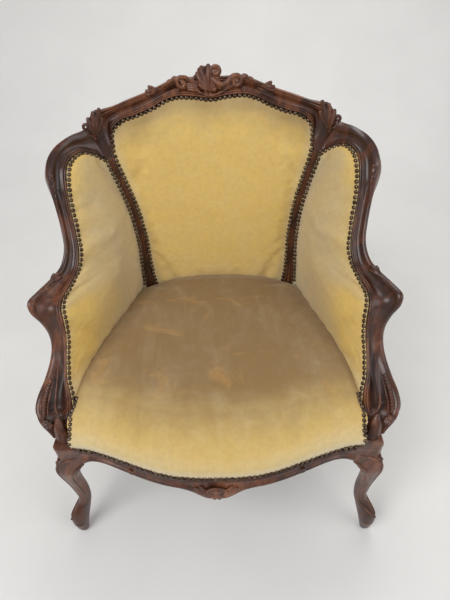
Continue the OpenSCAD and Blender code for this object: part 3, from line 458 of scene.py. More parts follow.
stileIn = mm(
    (242, 244, 802), (239, 242, 786), (231, 241, 755), (218, 238, 706), (207, 234, 660),
    (200, 229, 612), (195, 224, 560), (194, 217, 515), (190, 210, 461), (184, 205, 420),
    (183, 203, 400.2))
stileOut = mm(
    (257, 239.5, 795), (252, 238, 785), (243, 237, 754), (230, 234, 706), (219.5, 230.5, 660),
    (212.5, 225.5, 612), (208.5, 220, 561), (209, 213, 515), (209.5, 205, 463), (210, 198, 420),
    (208, 197, 400.2))
stileSettings = {"depth": 0.036, "lip": 0.009, "seat": 9.8, "rings": 110, "rearRings": 60}
rearLeg = [   # height, middle, front face, half width, depth
    (396, 195.5, 203, 18, 36), (336, 195.5, 205, 18, 36), (250, 199, 221, 17, 34),
    (190, 203.5, 242, 16, 31), (130, 210.5, 269, 14.5, 29), (80, 218.5, 294, 13.5, 27),
    (40, 225.5, 315, 13, 26), (14, 230.5, 333, 14, 29), (0, 232.5, 340, 14, 30)]


def stileFrame(k):
    i, o = along(stileIn, k), along(stileOut, k)
    w = (o - i).length
    wide = (o - i) / w
    run = along(stileIn, min(k + 0.5, 10)) - along(stileIn, max(k - 0.5, 0))
    return i, wide, run.cross(wide).normalized(), w


def stileSide(k):
    return table(k, [(0, 0.003), (1.5, stileSettings["lip"])])


def stilePoint(k, w, n):
    f = stileFrame(k)
    return f[0] + f[1] * w + f[2] * n


def stileRing(k):
    i, wide, face, w = stileFrame(k)
    lip, t = stileSide(k), stileSettings["depth"]
    half = [(-lip, -t), (-lip, -t / 2), (-lip, -0.0036), (-0.0004, -0.0034), (0, -0.001), (0.0012, 0.0004),
            (0.003, 0.0008), (w * 0.26, -0.0004), (w * 0.36, 0.0006)]
    rows = half + [(w / 2, 0.0022)] + [(w - x, n) for x, n in half[::-1]] + [(w / 2, -t)]
    return [i + wide * x + face * n for x, n in rows], rows


def rearRing(row):
    z, mid, front, h, d = row
    half = [(h, -d), (h, -d / 2), (h, -5), (h - 1.4, -1.6), (h - 3.4, -0.5), (h * 0.6, 0), (h * 0.4, 0.1),
            (h * 0.25, 0.3), (h * 0.1, 0.4)]
    rows = [(-x, n) for x, n in half] + [(0, 0.5)] + half[::-1] + [(0, -d)]
    return [Vector((mid + x, front - n, z)) / 1000 for x, n in rows], [(x / 1000, n / 1000) for x, n in rows]


def makePost(name):
    s = stileSettings
    both = [stileRing(k) for k in span(0, s["seat"], s["rings"])]
    both += [rearRing(rowsBetween(rearLeg, u)) for u in span(0, len(rearLeg) - 1, s["rearRings"])]
    rings, sections = zip(*both)
    ob = loft(name, rings)
    sweepValues(ob, rings, sections)
    return ob


postRight = makePost("backPostRight")
print("posts and legs swept")

# Covers and their padding are grids over two shares, v and u. The outside is what the eye
# sees, the under side is the back of the padding, and the rim is where the nails hold.

coverSettings = {
    "edgeGap": 0.0014,     # cloth to the show-wood beside it
    "cloth": 0.0018,       # thickness of the cover and its clearance
    "thin": 0.0003,        # under side of the cloth where it lies on the wood
    "back": 0.026,         # depth of the back's padding
    "backReach": 0.0106,   # from the stile to the fold of the back's cover
    "stripReach": 0.0018,  # from the stile to the edge of its nailed strip
    "stripShare": 0.06,    # width of that strip as a share of half the back
    "sideCreases": ((0.075, 0.0016, 3.1), (0.022, 0.0007, 7.7)),   # size, height and seed
    "backCreases": ((0.09, 0.0015, 1.3), (0.024, 0.0006, 4.4)),
    "pressure": 3.5, "frames": 16, "cap": 0.008,
    "coarse": (46, 24),    # rows and columns that are simulated
    "nailPitch": 0.0115,
}


def softTable(t, stops, w=0.05):   # the same with rounded corners
    return sum(table(t + w * k, stops) for k in (-1, -0.5, 0, 0.5, 1)) / 5


def gridBody(name, rows, columns, top, under):
    m, n = len(rows), len(columns)
    points = [top(v, u) for v in rows for u in columns] + [under(v, u) for v in rows for u in columns]
    faces = []
    for j in range(m - 1):
        for i in range(n - 1):
            a = j * n + i
            faces.append((a, a + 1, a + n + 1, a + n))
            faces.append((m * n + a, m * n + a + n, m * n + a + n + 1, m * n + a + 1))
    rim = list(range(n)) + [j * n + n - 1 for j in range(1, m)]
    rim += [(m - 1) * n + i for i in range(n - 2, -1, -1)] + [j * n for j in range(m - 2, 0, -1)]
    for a, b in zip(rim, rim[1:] + rim[:1]):
        faces.append((b, a, m * n + a, m * n + b))
    return meshPiece(name, points, faces)


def turnedOut(ob, probe, out):   # flips the whole piece if its first face looks inwards
    face = min(ob.data.polygons, key=lambda f: (f.center - probe).length)
    if face.normal.dot(out) < 0:
        ob.data.flip_normals()
    return ob


# The filling pushes the outside out while its nailed edge is held; returns the movement
def swelling(name, vs, us, top, under, held, s):
    m, n = s["coarse"]
    rows, columns = span(vs[0], vs[1], m), span(us[0], us[1], n)
    body = gridBody(name, rows, columns, top, under)
    bm = bmesh.new()
    bm.from_mesh(body.data)
    bmesh.ops.recalc_face_normals(bm, faces=bm.faces)
    bm.to_mesh(body.data)
    bm.free()
    start = [v.co.copy() for v in body.data.vertices]
    count = len(rows) * len(columns)
    group = body.vertex_groups.new(name="held")
    group.add([k for k in range(2 * count) if k >= count
               or held(rows[k // len(columns)], columns[k % len(columns)])], 1.0, "REPLACE")
    cloth = body.modifiers.new("cloth", "CLOTH")
    c = cloth.settings
    c.quality, c.mass = 5, 0.3
    c.tension_stiffness = c.compression_stiffness = 14
    c.shear_stiffness, c.bending_stiffness = 6, 1.5
    c.shrink_min = -0.012
    c.use_pressure = True
    c.uniform_pressure_force = s["pressure"]
    c.vertex_group_mass = "held"
    c.effector_weights.gravity = 0
    cloth.point_cache.frame_end = s["frames"]
    scene = bpy.context.scene
    for f in range(1, s["frames"] + 1):
        scene.frame_set(f)
    done = body.evaluated_get(bpy.context.evaluated_depsgraph_get()).to_mesh()
    moved = []
    for k in range(count):
        d = done.vertices[k].co - start[k]
        if d.length > s["cap"]:
            d *= s["cap"] / d.length
        moved.append(d)
    scene.frame_set(1)
    bpy.data.objects.remove(body, do_unlink=True)
    print(name, "filled, moved up to %.1f mm" % (1000 * max(d.length for d in moved)))
    return rows, columns, moved


def swollen(field, v, u):
    rows, columns, moved = field
    if moved is None:
        return Vector()
    n = len(columns)
    a = min(max((v - rows[0]) / (rows[-1] - rows[0]), 0), 1) * (len(rows) - 1)
    b = min(max((u - columns[0]) / (columns[-1] - columns[0]), 0), 1) * (n - 1)
    j, i = min(int(a), len(rows) - 2), min(int(b), n - 2)

    def row(r):
        p = [moved[r * n + min(max(i + k, 0), n - 1)] for k in (-1, 0, 1, 2)]
        return spline(p[0], p[1], p[2], p[3], b - i)
    q = [row(min(max(j + k, 0), len(rows) - 1)) for k in (-1, 0, 1, 2)]
    return spline(q[0], q[1], q[2], q[3], a - j)


def cloudy(p, size, seed=0.0):   # smooth noise from -1 to 1
    return noise.noise(Vector((p.x / size + seed, p.y / size - seed, p.z / size + 2 * seed)))


def creases(p, waves):   # sum of (size, height, seed) waves
    return sum(height * cloudy(p, size, seed) for size, height, seed in waves)


def drawnIn(fall, x, s, depth=0.0009):   # how far the cloth draws in between its nails
    return depth * fall * (0.5 - 0.5 * math.cos(2 * math.pi * x / s["nailPitch"]))


def wornAndPaintedLight(ob, rows, columns, wearAndPaintedLight):   # shares of gold, pale and brown pile, wear mixed with painted sheen and painted shade; the hidden side gets one value
    shares = [wearAndPaintedLight(v, u) for v in rows for u in columns]
    for key, values in zip(("gold", "pale", "brown"), zip(*shares)):
        addValues(ob, key, list(values) + [0.4] * len(values))


# Inside of the wings and arms
def rowStile(v):
    return 0.15 + 9.85 * max(v, 0.0) ** 1.1


def rowRibbon(v):
    return mix(9.2, 30.2, v)


sideBow = [(0, 0), (0.15, 0.008), (0.4, 0.015), (0.65, 0.011), (0.87, -0.003), (0.94, -0.010), (1, -0.008)]
sideDepth = [(0, 0.0132), (0.3, 0.022), (0.6, 0.0176), (0.93, 0.008), (0.985, 0.003), (1, 0.0004)]


def panelNear(v, nailed=False):   # the side of the stile, or the edge of the strip nailed on its face
    k = rowStile(v)
    f = stileFrame(k)
    lip, reach = (0, 0.00181) if nailed else (stileSide(k), 0.0016)
    return f[0] + f[1] * (f[3] + lip + reach) - f[2] * 0.003


def panelFar(v):
    return ribbonPoint(rowRibbon(v), -coverSettings["edgeGap"], -0.0022)


def panelFace(v):
    s = max(v, 0.14)
    d = panelFar(s) - panelNear(s)
    return (Vector((d.y, -d.x, 0)).normalized() + Vector((0, 0, 0.3))).normalized()


def panelPoint(v, u, lift=0.0):
    return panelNear(v).lerp(panelFar(v), u) + panelFace(v) * (softTable(v, sideBow) * 4 * u * (1 - u) + lift)


lipShare = 0.12   # u from -0.12 to 0 is the nailed strip on the stile


def sideStrip(v, u, lift):
    return panelNear(v, True).lerp(panelNear(v), u / lipShare + 1) + panelFace(v) * lift


def sideTop(v, u):
    cloth = coverSettings["cloth"]
    if u < 0:
        return sideStrip(v, u, cloth)
    crown = 0.0045 * (1 - abs(2 * u - 1) ** 3) * smooth(0, 0.06, v)
    return panelPoint(v, u, cloth + crown)


def sideUnder(v, u):
    thin = coverSettings["thin"]
    if u < 0:
        return sideStrip(v, u, thin)
    ends = smooth(0, 0.02, v) * (1 - smooth(0.955, 0.97, v))
    return panelPoint(v, u, mix(thin, -table(u, sideDepth), ends))


def makeSide(name, s):
    field = swelling("sideFilling", (0, 1), (0, 1), sideTop, sideUnder,
                     lambda v, u: u < 0.02 or u > 0.96 or v < 0.02 or v > 0.93, s)
    rows = paced(lambda v: panelPoint(v, 0.9), 0, 1, 0.0042)
    columns = [-lipShare, -0.09, -0.05, -0.015]
    columns += [0.5 - 0.5 * math.cos(math.pi * t) for t in span(0.0, 1.0, 42)]
    far = dict(zip(rows, distances([panelFar(v) for v in rows])))

    def top(v, u):
        p = sideTop(v, u)
        if u > 0:
            p += swollen(field, v, u)
            face = panelFace(v)
            w = (1 - u) * (panelFar(v) - panelNear(v)).length
            held = min(1.0, 4 * u * (1 - u) * 2)
            p += face * creases(p, s["sideCreases"]) * held
            if w > 0.0008:
                p -= face * drawnIn(math.exp(-w / 0.009), far[v], s)
            # fold where the wing turns down to the arm
            fold = math.exp(-((v - 0.565 - 0.05 * (1 - u)) / 0.012) ** 2)
            fold *= smooth(0.45, 0.8, u) * (1 - smooth(0.93, 0.99, u))
            p -= face * 0.0022 * fold
        return p

    # wear mixed with painted light: the gold along the outer edge and over the arm is painted sheen of the
    # pile, the pale beside the stile is painted light on the shaded inner side
    def wearAndPaintedLight(v, u):
        edge = smooth(0.62, 0.98, u) * (0.30 + 0.7 * math.exp(-((v - 0.1) / 0.14) ** 2))
        front = smooth(0.6, 0.68, v) * smooth(0.30, 0.62, u)
        rim = math.exp(-((u - 1.0) / 0.05) ** 2)
        return (min(1.0, 0.40 + edge * 0.42 + front * (0.15 + 0.5 * smooth(0.55, 1.0, u))),
                0.20 + 0.25 * rim + 0.3 * smooth(0.86, 0.95, v) + 0.34 * (1 - smooth(0.02, 0.42, u)),
                0.12 * math.exp(-((v - 0.5) / 0.14) ** 2 - ((u - 0.6) / 0.3) ** 2))
    ob = gridBody(name, rows, columns, top, sideUnder)
    wornAndPaintedLight(ob, rows, columns, wearAndPaintedLight)
    return turnedOut(ob, sideTop(0.4, 0.5), panelFace(0.4))


sideRight = makeSide("sidePadRight", coverSettings)

# Inside back, between the two stiles

backFace = Vector((0, -1, 0.15)).normalized()
cornerStation = 7
stileShare = 0.88   # of the back's side; the rest of it runs along the crest


def backStile(v):   # the stile's station beside the back's share v
    return 10 - v / stileShare * 9.8


def backEdge(v, reach):
    if v < stileShare:
        f = stileFrame(backStile(v))
        return f[0] - f[1] * reach - f[2] * 0.003
    u = mix(8, cornerStation, (v - stileShare) / (1 - stileShare))
    return ribbonPoint(u, -reach * 0.3 - coverSettings["edgeGap"] - 0.002, -0.003)


def backTopLine(u):
    return ribbonPoint(u * cornerStation, -coverSettings["edgeGap"] - 0.0008, -0.003)


def backFoot(u, reach):
    e = backEdge(0, reach)
    return Vector((u * e.x, e.y + 0.024 * (1 - u * u), e.z))


def backPoint(u, v, lift=0.0):
    reach = coverSettings["backReach"]
    e = backEdge(v, reach)
    if abs(u) < 0.995:   # the middle follows a softened edge
        w = min(0.09, v, 1 - v)
        soft = sum((backEdge(v + w * k, reach) for k in (-1, -0.6, -0.3, 0, 0.3, 0.6, 1)), Vector()) / 7
        e = soft.lerp(e, abs(u) ** 6)
    bow = 0.018 * math.sin(math.pi * v ** 0.8) * (1 - u * u)
    flat = patch(backFoot(u, reach), backTopLine(u), e, backEdge(0, reach), backTopLine(1), u, v)
    return flat + backFace * (bow + lift)


def backStrip(v, u, lift):   # u beyond 1 is the nailed strip on the stile
    share = coverSettings["stripShare"]
    edge = backEdge(v, coverSettings["stripReach"])
    e = edge.lerp(backPoint(1, v), (1 + share - abs(u)) / share) + backFace * lift
    return flip(e) if u < 0 else e


def backTop(v, u):
    lift = coverSettings["cloth"]
    if abs(u) > 1:
        return backStrip(v, u, lift)
    crown = 0.004 * (1 - abs(u) ** 4) * smooth(0, 0.05, v) * (1 - smooth(0.93, 1, v))
    return backPoint(u, v, lift + crown)


def backUnder(v, u):
    thin = coverSettings["thin"]
    if abs(u) > 1:
        return backStrip(v, u, thin)
    ends = smooth(0, 0.016, v) * (1 - smooth(0.975, 0.998, v)) * (1 - smooth(0.955, 0.995, abs(u)))
    return backPoint(u, v, mix(thin, -coverSettings["back"], ends))


def makeBack(name, s):
    field = swelling("backFilling", (0, 1), (-1, 1), backTop, backUnder,
                     lambda v, u: abs(u) > 0.97 or v < 0.04 or v > 0.975, s)
    rows = paced(lambda v: backPoint(1, v), 0, 1, 0.0046)
    half = [math.sin(0.5 * math.pi * t) for t in span(0, 1, 34)]
    columns = [-1.06, -1.04, -1.015] + [-h for h in half[:0:-1]] + half + [1.015, 1.04, 1.06]

    def top(v, u):
        p = backTop(v, u)
        if abs(u) < 1:
            p += swollen(field, v, u)
            held = min(1.0, 3 * (1 - u * u)) * min(1.0, 8 * v * (1 - v))
            p += backFace * creases(p, s["backCreases"]) * held
        d = (1 - v) * 0.45
        if d > 0.001:
            p -= backFace * drawnIn(math.exp(-d / 0.009), p.x, s)
        return p

    # wear mixed with painted light: the browner, less gold band along the top, under the crest's nails, is
    # painted shade; gold and pale are partly painted sheen of the pile
    def wearAndPaintedLight(v, u):
        edge = abs(u)
        return (0.95 - 0.35 * smooth(0.86, 1.0, v) - 0.15 * smooth(0.8, 1, edge),
                0.20 * (1 - smooth(0.03, 0.32, v)) + 0.20 * smooth(0.88, 1.0, edge) + 0.27,
                0.42 * smooth(0.70, 0.94, v) + 0.24 * smooth(0.92, 0.985, v))
    ob = gridBody(name, rows, columns, top, backUnder)
    wornAndPaintedLight(ob, rows, columns, wearAndPaintedLight)
    return turnedOut(ob, backTop(0.5, 0), backFace)


backPad = makeBack("backPad", coverSettings)

# Seat, tight to the rails, with a front border

seatSettings = {
    "railTop": 0.396, "nailZ": 0.3635, "rise": 0.046, "crown": 0.016,
    "blockIn": 0.303,      # where the rail meets the block
    "border": 0.08,        # the front border's share below v = 0
    "side": 0.12,          # share of the side that runs round the block
    "rearCorner": (0.1915, 0.198, 0),
    "creases": ((0.11, 0.0022, 5.2), (0.028, 0.0007, 8.1)),
    "pressure": 3.5, "frames": 16, "cap": 0.009, "coarse": (44, 40), "nailPitch": 0.0115,
}
blockX, blockY = legSettings["block"]
blockIn = seatSettings["blockIn"]
frontLine = [Vector((blockIn * x, y, 0)) for x, y in (
    (0, -0.357), (0.18, -0.356), (0.33, -0.350), (0.48, -0.337), (0.63, -0.320), (0.775, -0.304),
    (0.89, -0.293), (1, -0.288))] + [Vector((blockX, -0.286, 0))]
frontTable = [(p.x, p.y) for p in (along(frontLine, t) for t in span(0, 8, 160))]
cornerLine = [Vector((x, y, 0)) for x, y in (
    (blockX - 0.014, blockY - 0.016), (blockX - 0.006, blockY + 0.012),
    (blockX - 0.012, blockY + 0.036), (blockX - 0.016, -0.196))]


def frontY(x):
    return table(abs(x), frontTable)


def seatSide(v):
    share = seatSettings["side"]
    if v < share:
        return along(cornerLine, v / share * 3)
    u = 1 - (v - share) / (1 - share)
    p = panelPoint(0.94, max(u, 0.01) * 0.97, 0.004)
    return Vector((p.x, p.y, 0)).lerp(Vector(seatSettings["rearCorner"]), smooth(0.93, 1, v))


def seatFront(u):
    x = u * cornerLine[0].x
    return Vector((x, frontY(x) + 0.003, 0))


def seatRear(u):
    e = seatSide(1)
    p = backPoint(u, 0.06, 0.004)
    return Vector((p.x, p.y, 0)).lerp(Vector((u * e.x, e.y, 0)), smooth(0.92, 1, abs(u)))


def seatPlan(u, v):
    corner = Vector((cornerLine[0].x, seatFront(1).y, 0))
    return patch(seatFront(u), seatRear(u), seatSide(v), corner, seatSide(1), u, v)


def seatHeight(u, v, s):
    return (s["railTop"] + 0.004 + s["rise"] * (1 - (1 - v) ** 7)
            + s["crown"] * math.sin(math.pi * min(v, 1) ** 0.8) * (1 - u * u) - 0.018 * u ** 4 * v * v)


def seatTop(v, u):   # v below 0 is the front border that falls over the rail
    s = seatSettings
    if v < 0:
        x = u * cornerLine[0].x
        low = max(s["nailZ"], 0.367 if abs(x) > s["blockIn"] - 0.032 else 0)
        t = 1 + v / s["border"]
        z = mix(low, s["railTop"] + 0.004, t)
        bulge = 0.0034 * math.sin(math.pi * min(max((t - 0.27) / 0.73, 0), 1) ** 0.8)
        return Vector((x, frontY(x) + 0.0013 - bulge, z))
    p = seatPlan(u, v)
    soft = 0.0018 * (1 - math.exp(-v / 0.01))
    return Vector((p.x, p.y, seatHeight(u, v, s) + soft))


def seatUnder(v, u):
    s = seatSettings
    if v < 0:
        p = seatTop(v, u)
        return Vector((p.x, frontY(p.x) + 0.0028, p.z))
    p = seatPlan(u, v)
    centre = Vector((0, -0.06, 0))
    q = p.lerp(centre, 0.05 * smooth(0.0, 0.02, v))
    return Vector((q.x, q.y, mix(s["railTop"] + 0.0022, s["railTop"] + 0.0016, smooth(0, 0.02, v))))


def makeSeat(name, s):
    field = swelling("seatFilling", (0, 1), (-1, 1), seatTop, seatUnder,
                     lambda v, u: v < 0.01 or v > 0.97 or abs(u) > 0.975, s)
    deep = paced(lambda v: seatTop(v, 0.3), 0, 1, 0.0058)
    near = [v for v in deep if v < 0.12]
    rows = span(-s["border"], 0, 14)[:-1] + sorted(set(deep + [(a + b) / 2 for a, b in zip(near, near[1:])]))
    half = [math.sin(0.5 * math.pi * t) ** 0.9 for t in span(0, 1, 56)]
    columns = [-h for h in half[:0:-1]] + half

    def top(v, u):
        p = seatTop(v, u)
        if v >= 0:
            p += swollen(field, v, u)
            held = min(1.0, 3 * (1 - u * u)) * min(1.0, 9 * v * (1 - v))
            p.z += creases(p, s["creases"]) * held
            p.z -= 0.0045 * math.exp(-(p.x / 0.16) ** 2 - ((p.y + 0.02) / 0.12) ** 2)
        if v < 0.05:
            p.y += drawnIn(math.exp(-(v + s["border"]) / 0.035), p.x, s, 0.0010)
        return p

    # wear mixed with painted light: the pale front border is a painted highlight where the cover rolls over
    # the rail, the brown over all but the front is painted shade that keeps the upturned seat darker, and
    # wear
    def wearAndPaintedLight(v, u):
        side = abs(u)
        return (0.27 + 0.38 * (1 - smooth(0.02, 0.30, v)),
                0.05 + 0.62 * (1 - smooth(-0.06, 0.05, v)) + 0.16 * (1 - smooth(0.03, 0.25, v)) * side,
                0.88 * smooth(-0.09, 0.24, v) * (1 - 0.16 * smooth(0.5, 1.0, side) * (1 - v)))
    ob = gridBody(name, rows, columns, top, seatUnder)
    wornAndPaintedLight(ob, rows, columns, wearAndPaintedLight)
    return turnedOut(ob, seatTop(0.5, 0), Vector((0, 0, 1)))


seatPad = makeSeat("seatPad", seatSettings)
print("covers filled")


railSettings = {
    "top": 0.396, "foot": 0.336, "nail": 0.362, "thick": 0.028, "half": 0.30285, "rings": 150,
}
railEdge = [Vector((x, z, 0)) / 1000 for x, z in (
    (0, 293), (20, 294), (38, 309), (56, 325), (80, 334), (110, 335), (185, 336), (220, 340),
    (250, 342), (280, 334), (303, 318))]
railEdgeTable = [(p.x, p.y) for p in (along(railEdge, t) for t in span(0, 10, 200))]


def railSection(x, s):
    z = table(abs(x), railEdgeTable)
    h = s["nail"] - z
    at = lambda q, t, up=0.0: (q / 1000, z + h * t + up / 1000)
    return [(-s["thick"], s["top"]), (-s["thick"], s["foot"]), (-0.012, s["foot"]),
            (-0.010, min(z + 0.006, s["foot"] - 0.0008)), at(-4, 0, 0.7), at(-1, 0, 0), at(2, 0, 0.1),
            at(4.6, 0, 0.9), at(6.8, 0.05, 1), at(7.8, 0.12), at(7.9, 0.17), at(7.2, 0.24), at(6.3, 0.29),
            at(5.4, 0.31), at(5.2, 0.335), at(4.3, 0.36), at(2.6, 0.41), at(1.4, 0.48), at(0.8, 0.56),
            at(0.6, 0.64), at(0.8, 0.72), (0.0011, 0.356), (0.0016, 0.3572), (0.0029, 0.3582),
            (0.0039, 0.3595), (0.0037, 0.3608), (0.0024, 0.3617), (0.0005, 0.362), (-0.0046, 0.3623),
            (-0.005, 0.3635), (-0.005, s["top"])]


def makeRail(name, s):
    rings, sections = [], []
    for x in span(-s["half"], s["half"], s["rings"]):
        rows = railSection(x, s)
        rings.append([Vector((x, frontY(x) - q, z)) for q, z in rows])
        sections.append([(-z, q) for q, z in rows])
    ob = loft(name, rings)
    sweepValues(ob, rings, sections)
    return ob


frontRail = makeRail("frontRail", railSettings)

# Carvings: rods and beads pressed into one another like clay, then remeshed into one solid

carvingSettings = {
    "voxel": 0.00105, "smoothing": 3,
    "steps": 5, "rodSides": 10, "curlSteps": 14,   # rings of a rod from one point to the next
    "beadRings": 10, "beadSides": 16,
}
midway = [sharePoint(u, 0.5) for u in span(0, 31, 620)]
lengths = distances(midway)
lengthTable = [(k / 20, far) for k, far in enumerate(lengths)]
stationTable = [(far, k / 20) for k, far in enumerate(lengths)]


def ribbonMap(u0, share):   # along the ribbon, outwards across it, and off its face
    start = table(u0, lengthTable)

    def at(a, b, c):
        far = start + a
        f = ribbonFrame(math.copysign(table(abs(far), stationTable), far))
        return f[0] + f[1] * (f[3] * share + b) + f[2] * c
    return at


def flatMap(origin, right, up):
    right, up = Vector(right).normalized(), Vector(up).normalized()
    out = right.cross(up)
    return lambda a, b, c: origin + right * a + up * b + out * c


def curl(mid, r0, r1, t0, t1):   # a spiral from the radius and angle r0 and t0 to r1 and t1
    got = []
    for share in span(0, 1, carvingSettings["curlSteps"]):
        t, r = math.radians(mix(t0, t1, share)), mix(r0, r1, share)
        got.append((mid[0] + r * math.cos(t), mid[1] + r * math.sin(t), mid[2]))
    return got


class Carving:   # clay laid on a surface; at() takes metres along it, across it and off it
    def __init__(self, at):
        self.at, self.points, self.faces = at, [], []

    def place(self, p):
        return self.at(p[0] / 1000, p[1] / 1000, p[2] / 1000)

    def rings(self, rows):
        first, n = len(self.points), len(rows[0])
        for row in rows:
            self.points += row
        for j in range(len(rows) - 1):
            for i in range(n):
                a, b = first + j * n + i, first + j * n + (i + 1) % n
                self.faces.append((a, b, b + n, a + n))
        self.faces.append(tuple(range(first + n - 1, first - 1, -1)))
        self.faces.append(tuple(range(first + (len(rows) - 1) * n, first + len(rows) * n)))

    def rod(self, path, radii, flat=1.0):   # round along a path, with rounded ends
        guide = [Vector(p) for p in path]
        sides, last = carvingSettings["rodSides"], (len(guide) - 1) * carvingSettings["steps"]
        stops = [(i / (len(radii) - 1), r / 1000) for i, r in enumerate(radii)]
        mids = [along(guide, t) for t in span(0, len(guide) - 1, last)]
        spots = [self.place(p) for p in mids]
        rows = []
        for k, p in enumerate(spots):
            run = (spots[min(k + 1, last)] - spots[max(k - 1, 0)]).normalized()
            side = run.cross(self.place(mids[k] + Vector((0, 0, 1))) - p).normalized()
            top, r = side.cross(run), table(k / last, stops)
            ends = [(-0.92, 0.3), (-0.6, 0.78)] if k == 0 else []
            ends += [(0, 1)] + ([(0.6, 0.78), (0.92, 0.3)] if k == last else [])
            for push, size in ends:
                turns = (2 * math.pi * i / sides for i in range(sides))   # round the rod
                rows.append([p + run * (push * r) + (side * math.cos(t) + top * (math.sin(t) * flat))
                             * (size * r) for t in turns])
        self.rings(rows)

    def bead(self, mid, size, turn=0.0):   # an ellipsoid with half axes in size
        co, si = math.cos(math.radians(turn)), math.sin(math.radians(turn))
        rings, sides = carvingSettings["beadRings"], carvingSettings["beadSides"]
        rows = []
        for i in range(rings):
            t = math.pi * (i + 0.5) / rings
            row = []
            for q in (2 * math.pi * k / sides for k in range(sides)):
                x, y = size[0] * math.sin(t) * math.cos(q), size[1] * math.sin(t) * math.sin(q)
                row.append(self.place((mid[0] + x * co - y * si, mid[1] + x * si + y * co,
                                       mid[2] + size[2] * math.cos(t))))
            rows.append(row)
        self.rings(rows)

    def petal(self, stem, tip, size, rise=4.0, bow=0.0):   # a flute that widens to its round tip
        stem, tip = Vector(stem), Vector(tip)
        run = tip - stem
        side = Vector((-run.y, run.x, 0)).normalized()
        path = [stem.lerp(tip, t) + side * (bow * math.sin(math.pi * t))
                + Vector((0, 0, rise * math.sin(math.pi * t))) for t in (0, 0.25, 0.5, 0.75, 1)]
        self.rod(path, [size * k for k in (0.35, 0.55, 0.78, 0.96, 0.9)], 0.95)

    def petals(self, stem, rise, *tips):   # each a tip, a size and perhaps a bow
        for tip, *rest in tips:
            self.petal(stem, tip, rest[0], rise, *rest[1:])

    def finish(self, name, s=carvingSettings):
        ob = meshPiece(name, self.points, self.faces)
        remesh = ob.modifiers.new("clay", "REMESH")
        remesh.mode, remesh.voxel_size = "VOXEL", s["voxel"]
        soft = ob.modifiers.new("soft", "SMOOTH")
        soft.factor, soft.iterations = 0.5, s["smoothing"]
        applied(ob)
        ob.data.shade_smooth()
        return outward(ob)


def carveCrest(name):
    c = Carving(ribbonMap(0, 0.5))
    for mid, size in (((-3, 13, -3), (26, 28, 10)), ((-7, 33, -1), (20, 13, 8)), ((14, 31, -2), (12, 13, 9))):
        c.bead(mid, size)
    # rocaille shell: flutes from one stem, a rolled lobe and a rim
    c.petals((-4, -5, 5), 6, ((-26, 12, 4), 5.4, 4), ((-26, 28, 4), 6.2, 4), ((-16, 41, 4), 6.4, 3),
             ((-2, 45.5, 4), 5.8, 1))
    c.rod([(4, 10, 5), (1, 22, 6)] + curl((13, 34, 6), 11.5, 4.5, 190, -200), [3, 4.4, 4.6, 4.2, 3.4, 2.6])
    c.bead((13, 34, 6), (4, 4, 4.5))
    c.rod([(-8, -14, 3), (-24, -11, 5), (-35, 0, 5), (-37, 15, 5), (-32, 24, 4)], [2, 3, 3.6, 3.6, 2.4])
    c.rod([(-30, -8, 3), (-14, -15.5, 4), (6, -16.5, 5), (24, -13, 4), (40, -7, 3)],
          [1.8, 2.3, 2.6, 2.3, 1.8])
    c.bead((10, -4, 7), (5.6, 5.6, 5.6))
    for a, b in (((-16, -6, 6), (-6, -12, 6)), ((-2, -12, 6), (5, -13, 6))):
        c.rod([a, b], [1.6, 1.6])
    # volutes: a smooth saddle leads to the right one, flutes to the left one
    c.rod([(8, 18, 4), (18, 8, 6), (30, 4, 6), (42, 9, 6), (51, 18, 5)]
          + curl((62, 8, 5), 13, 4.5, 110, -290), [5.5, 6.4, 5, 4.4, 3.8, 3.2, 2.6])
    c.rod([(-34, 10, 5), (-44, 14, 6), (-54, 20, 5)] + curl((-65, 8, 5), 13, 4.5, 70, 470),
          [4, 5, 4.4, 3.8, 3.2, 2.6])
    for k in range(4):
        c.rod([(-22 - 3 * k, 9 - 6 * k, 4), (-38 - k, 8 - 5 * k, 5), (-53, 6 - 4 * k, 3)], [2.2, 2.8, 1.8])
    for s in (1, -1):
        c.bead((63 * s, 8, 3), (4.5, 4.5, 6))
        c.bead((62 * s, 6, -5), (17, 14, 9))
        c.bead((36 * s, 0, -6), (24, 11, 9))
        for a, b, r in ((80, 18, 7), (94, 15.5, 6), (107, 13.5, 5)):
            c.bead((a * s, b, 1), (r * 1.25, r * 0.9, r * 0.9), -12 * s)
        for k in range(3):
            c.rod([(74 * s, -13 + 4.6 * k, -1), (94 * s, -13.5 + 4.2 * k, -2), (122 * s, -12 + 3.4 * k, -5)],
                  [1.4, 2.5, 1.0])
        c.petals((120 * s, 9, 0), 3, ((141 * s, 25, 2), 4.6), ((149 * s, 19, 2), 4.8),
                 ((151 * s, 11, 1), 4.2))
        c.rod([(112 * s, 2, -5), (132 * s, 2, -5), (160 * s, 3, -6)], [2, 3.4, 1])
    return c.finish(name)


def carveCorner(name):   # acanthus spray over the junction of stile, crest and wing
    c = Carving(flatMap(sharePoint(9.25, 0.7), (1, 0, 0), (0, 0, 1)))
    c.bead((-9, 24, -3), (16, 31, 9), 16)
    c.petals((-1, -9, 3), 5, ((-24, 55, 3), 5.8, 2), ((-9, 48, 4), 6.2, 1), ((5, 35, 4), 5.8, -1),
             ((-26, 33, 2), 4.6, 3), ((-16, 11, 1), 3.8, 2))
    c.rod([(-1, -9, 4), (8, -2, 5), (18, 6, 5)] + curl((13, 18, 5), 8, 3.4, -50, 250),
          [2.4, 3.4, 4, 3.4, 2.4])
    c.bead((-1, -11, 2), (6, 5, 5))
    c.rod([(-2, -14, 1), (-6, -30, -2), (-14, -48, -4)], [3.6, 2.6, 1])
    return c.finish(name)


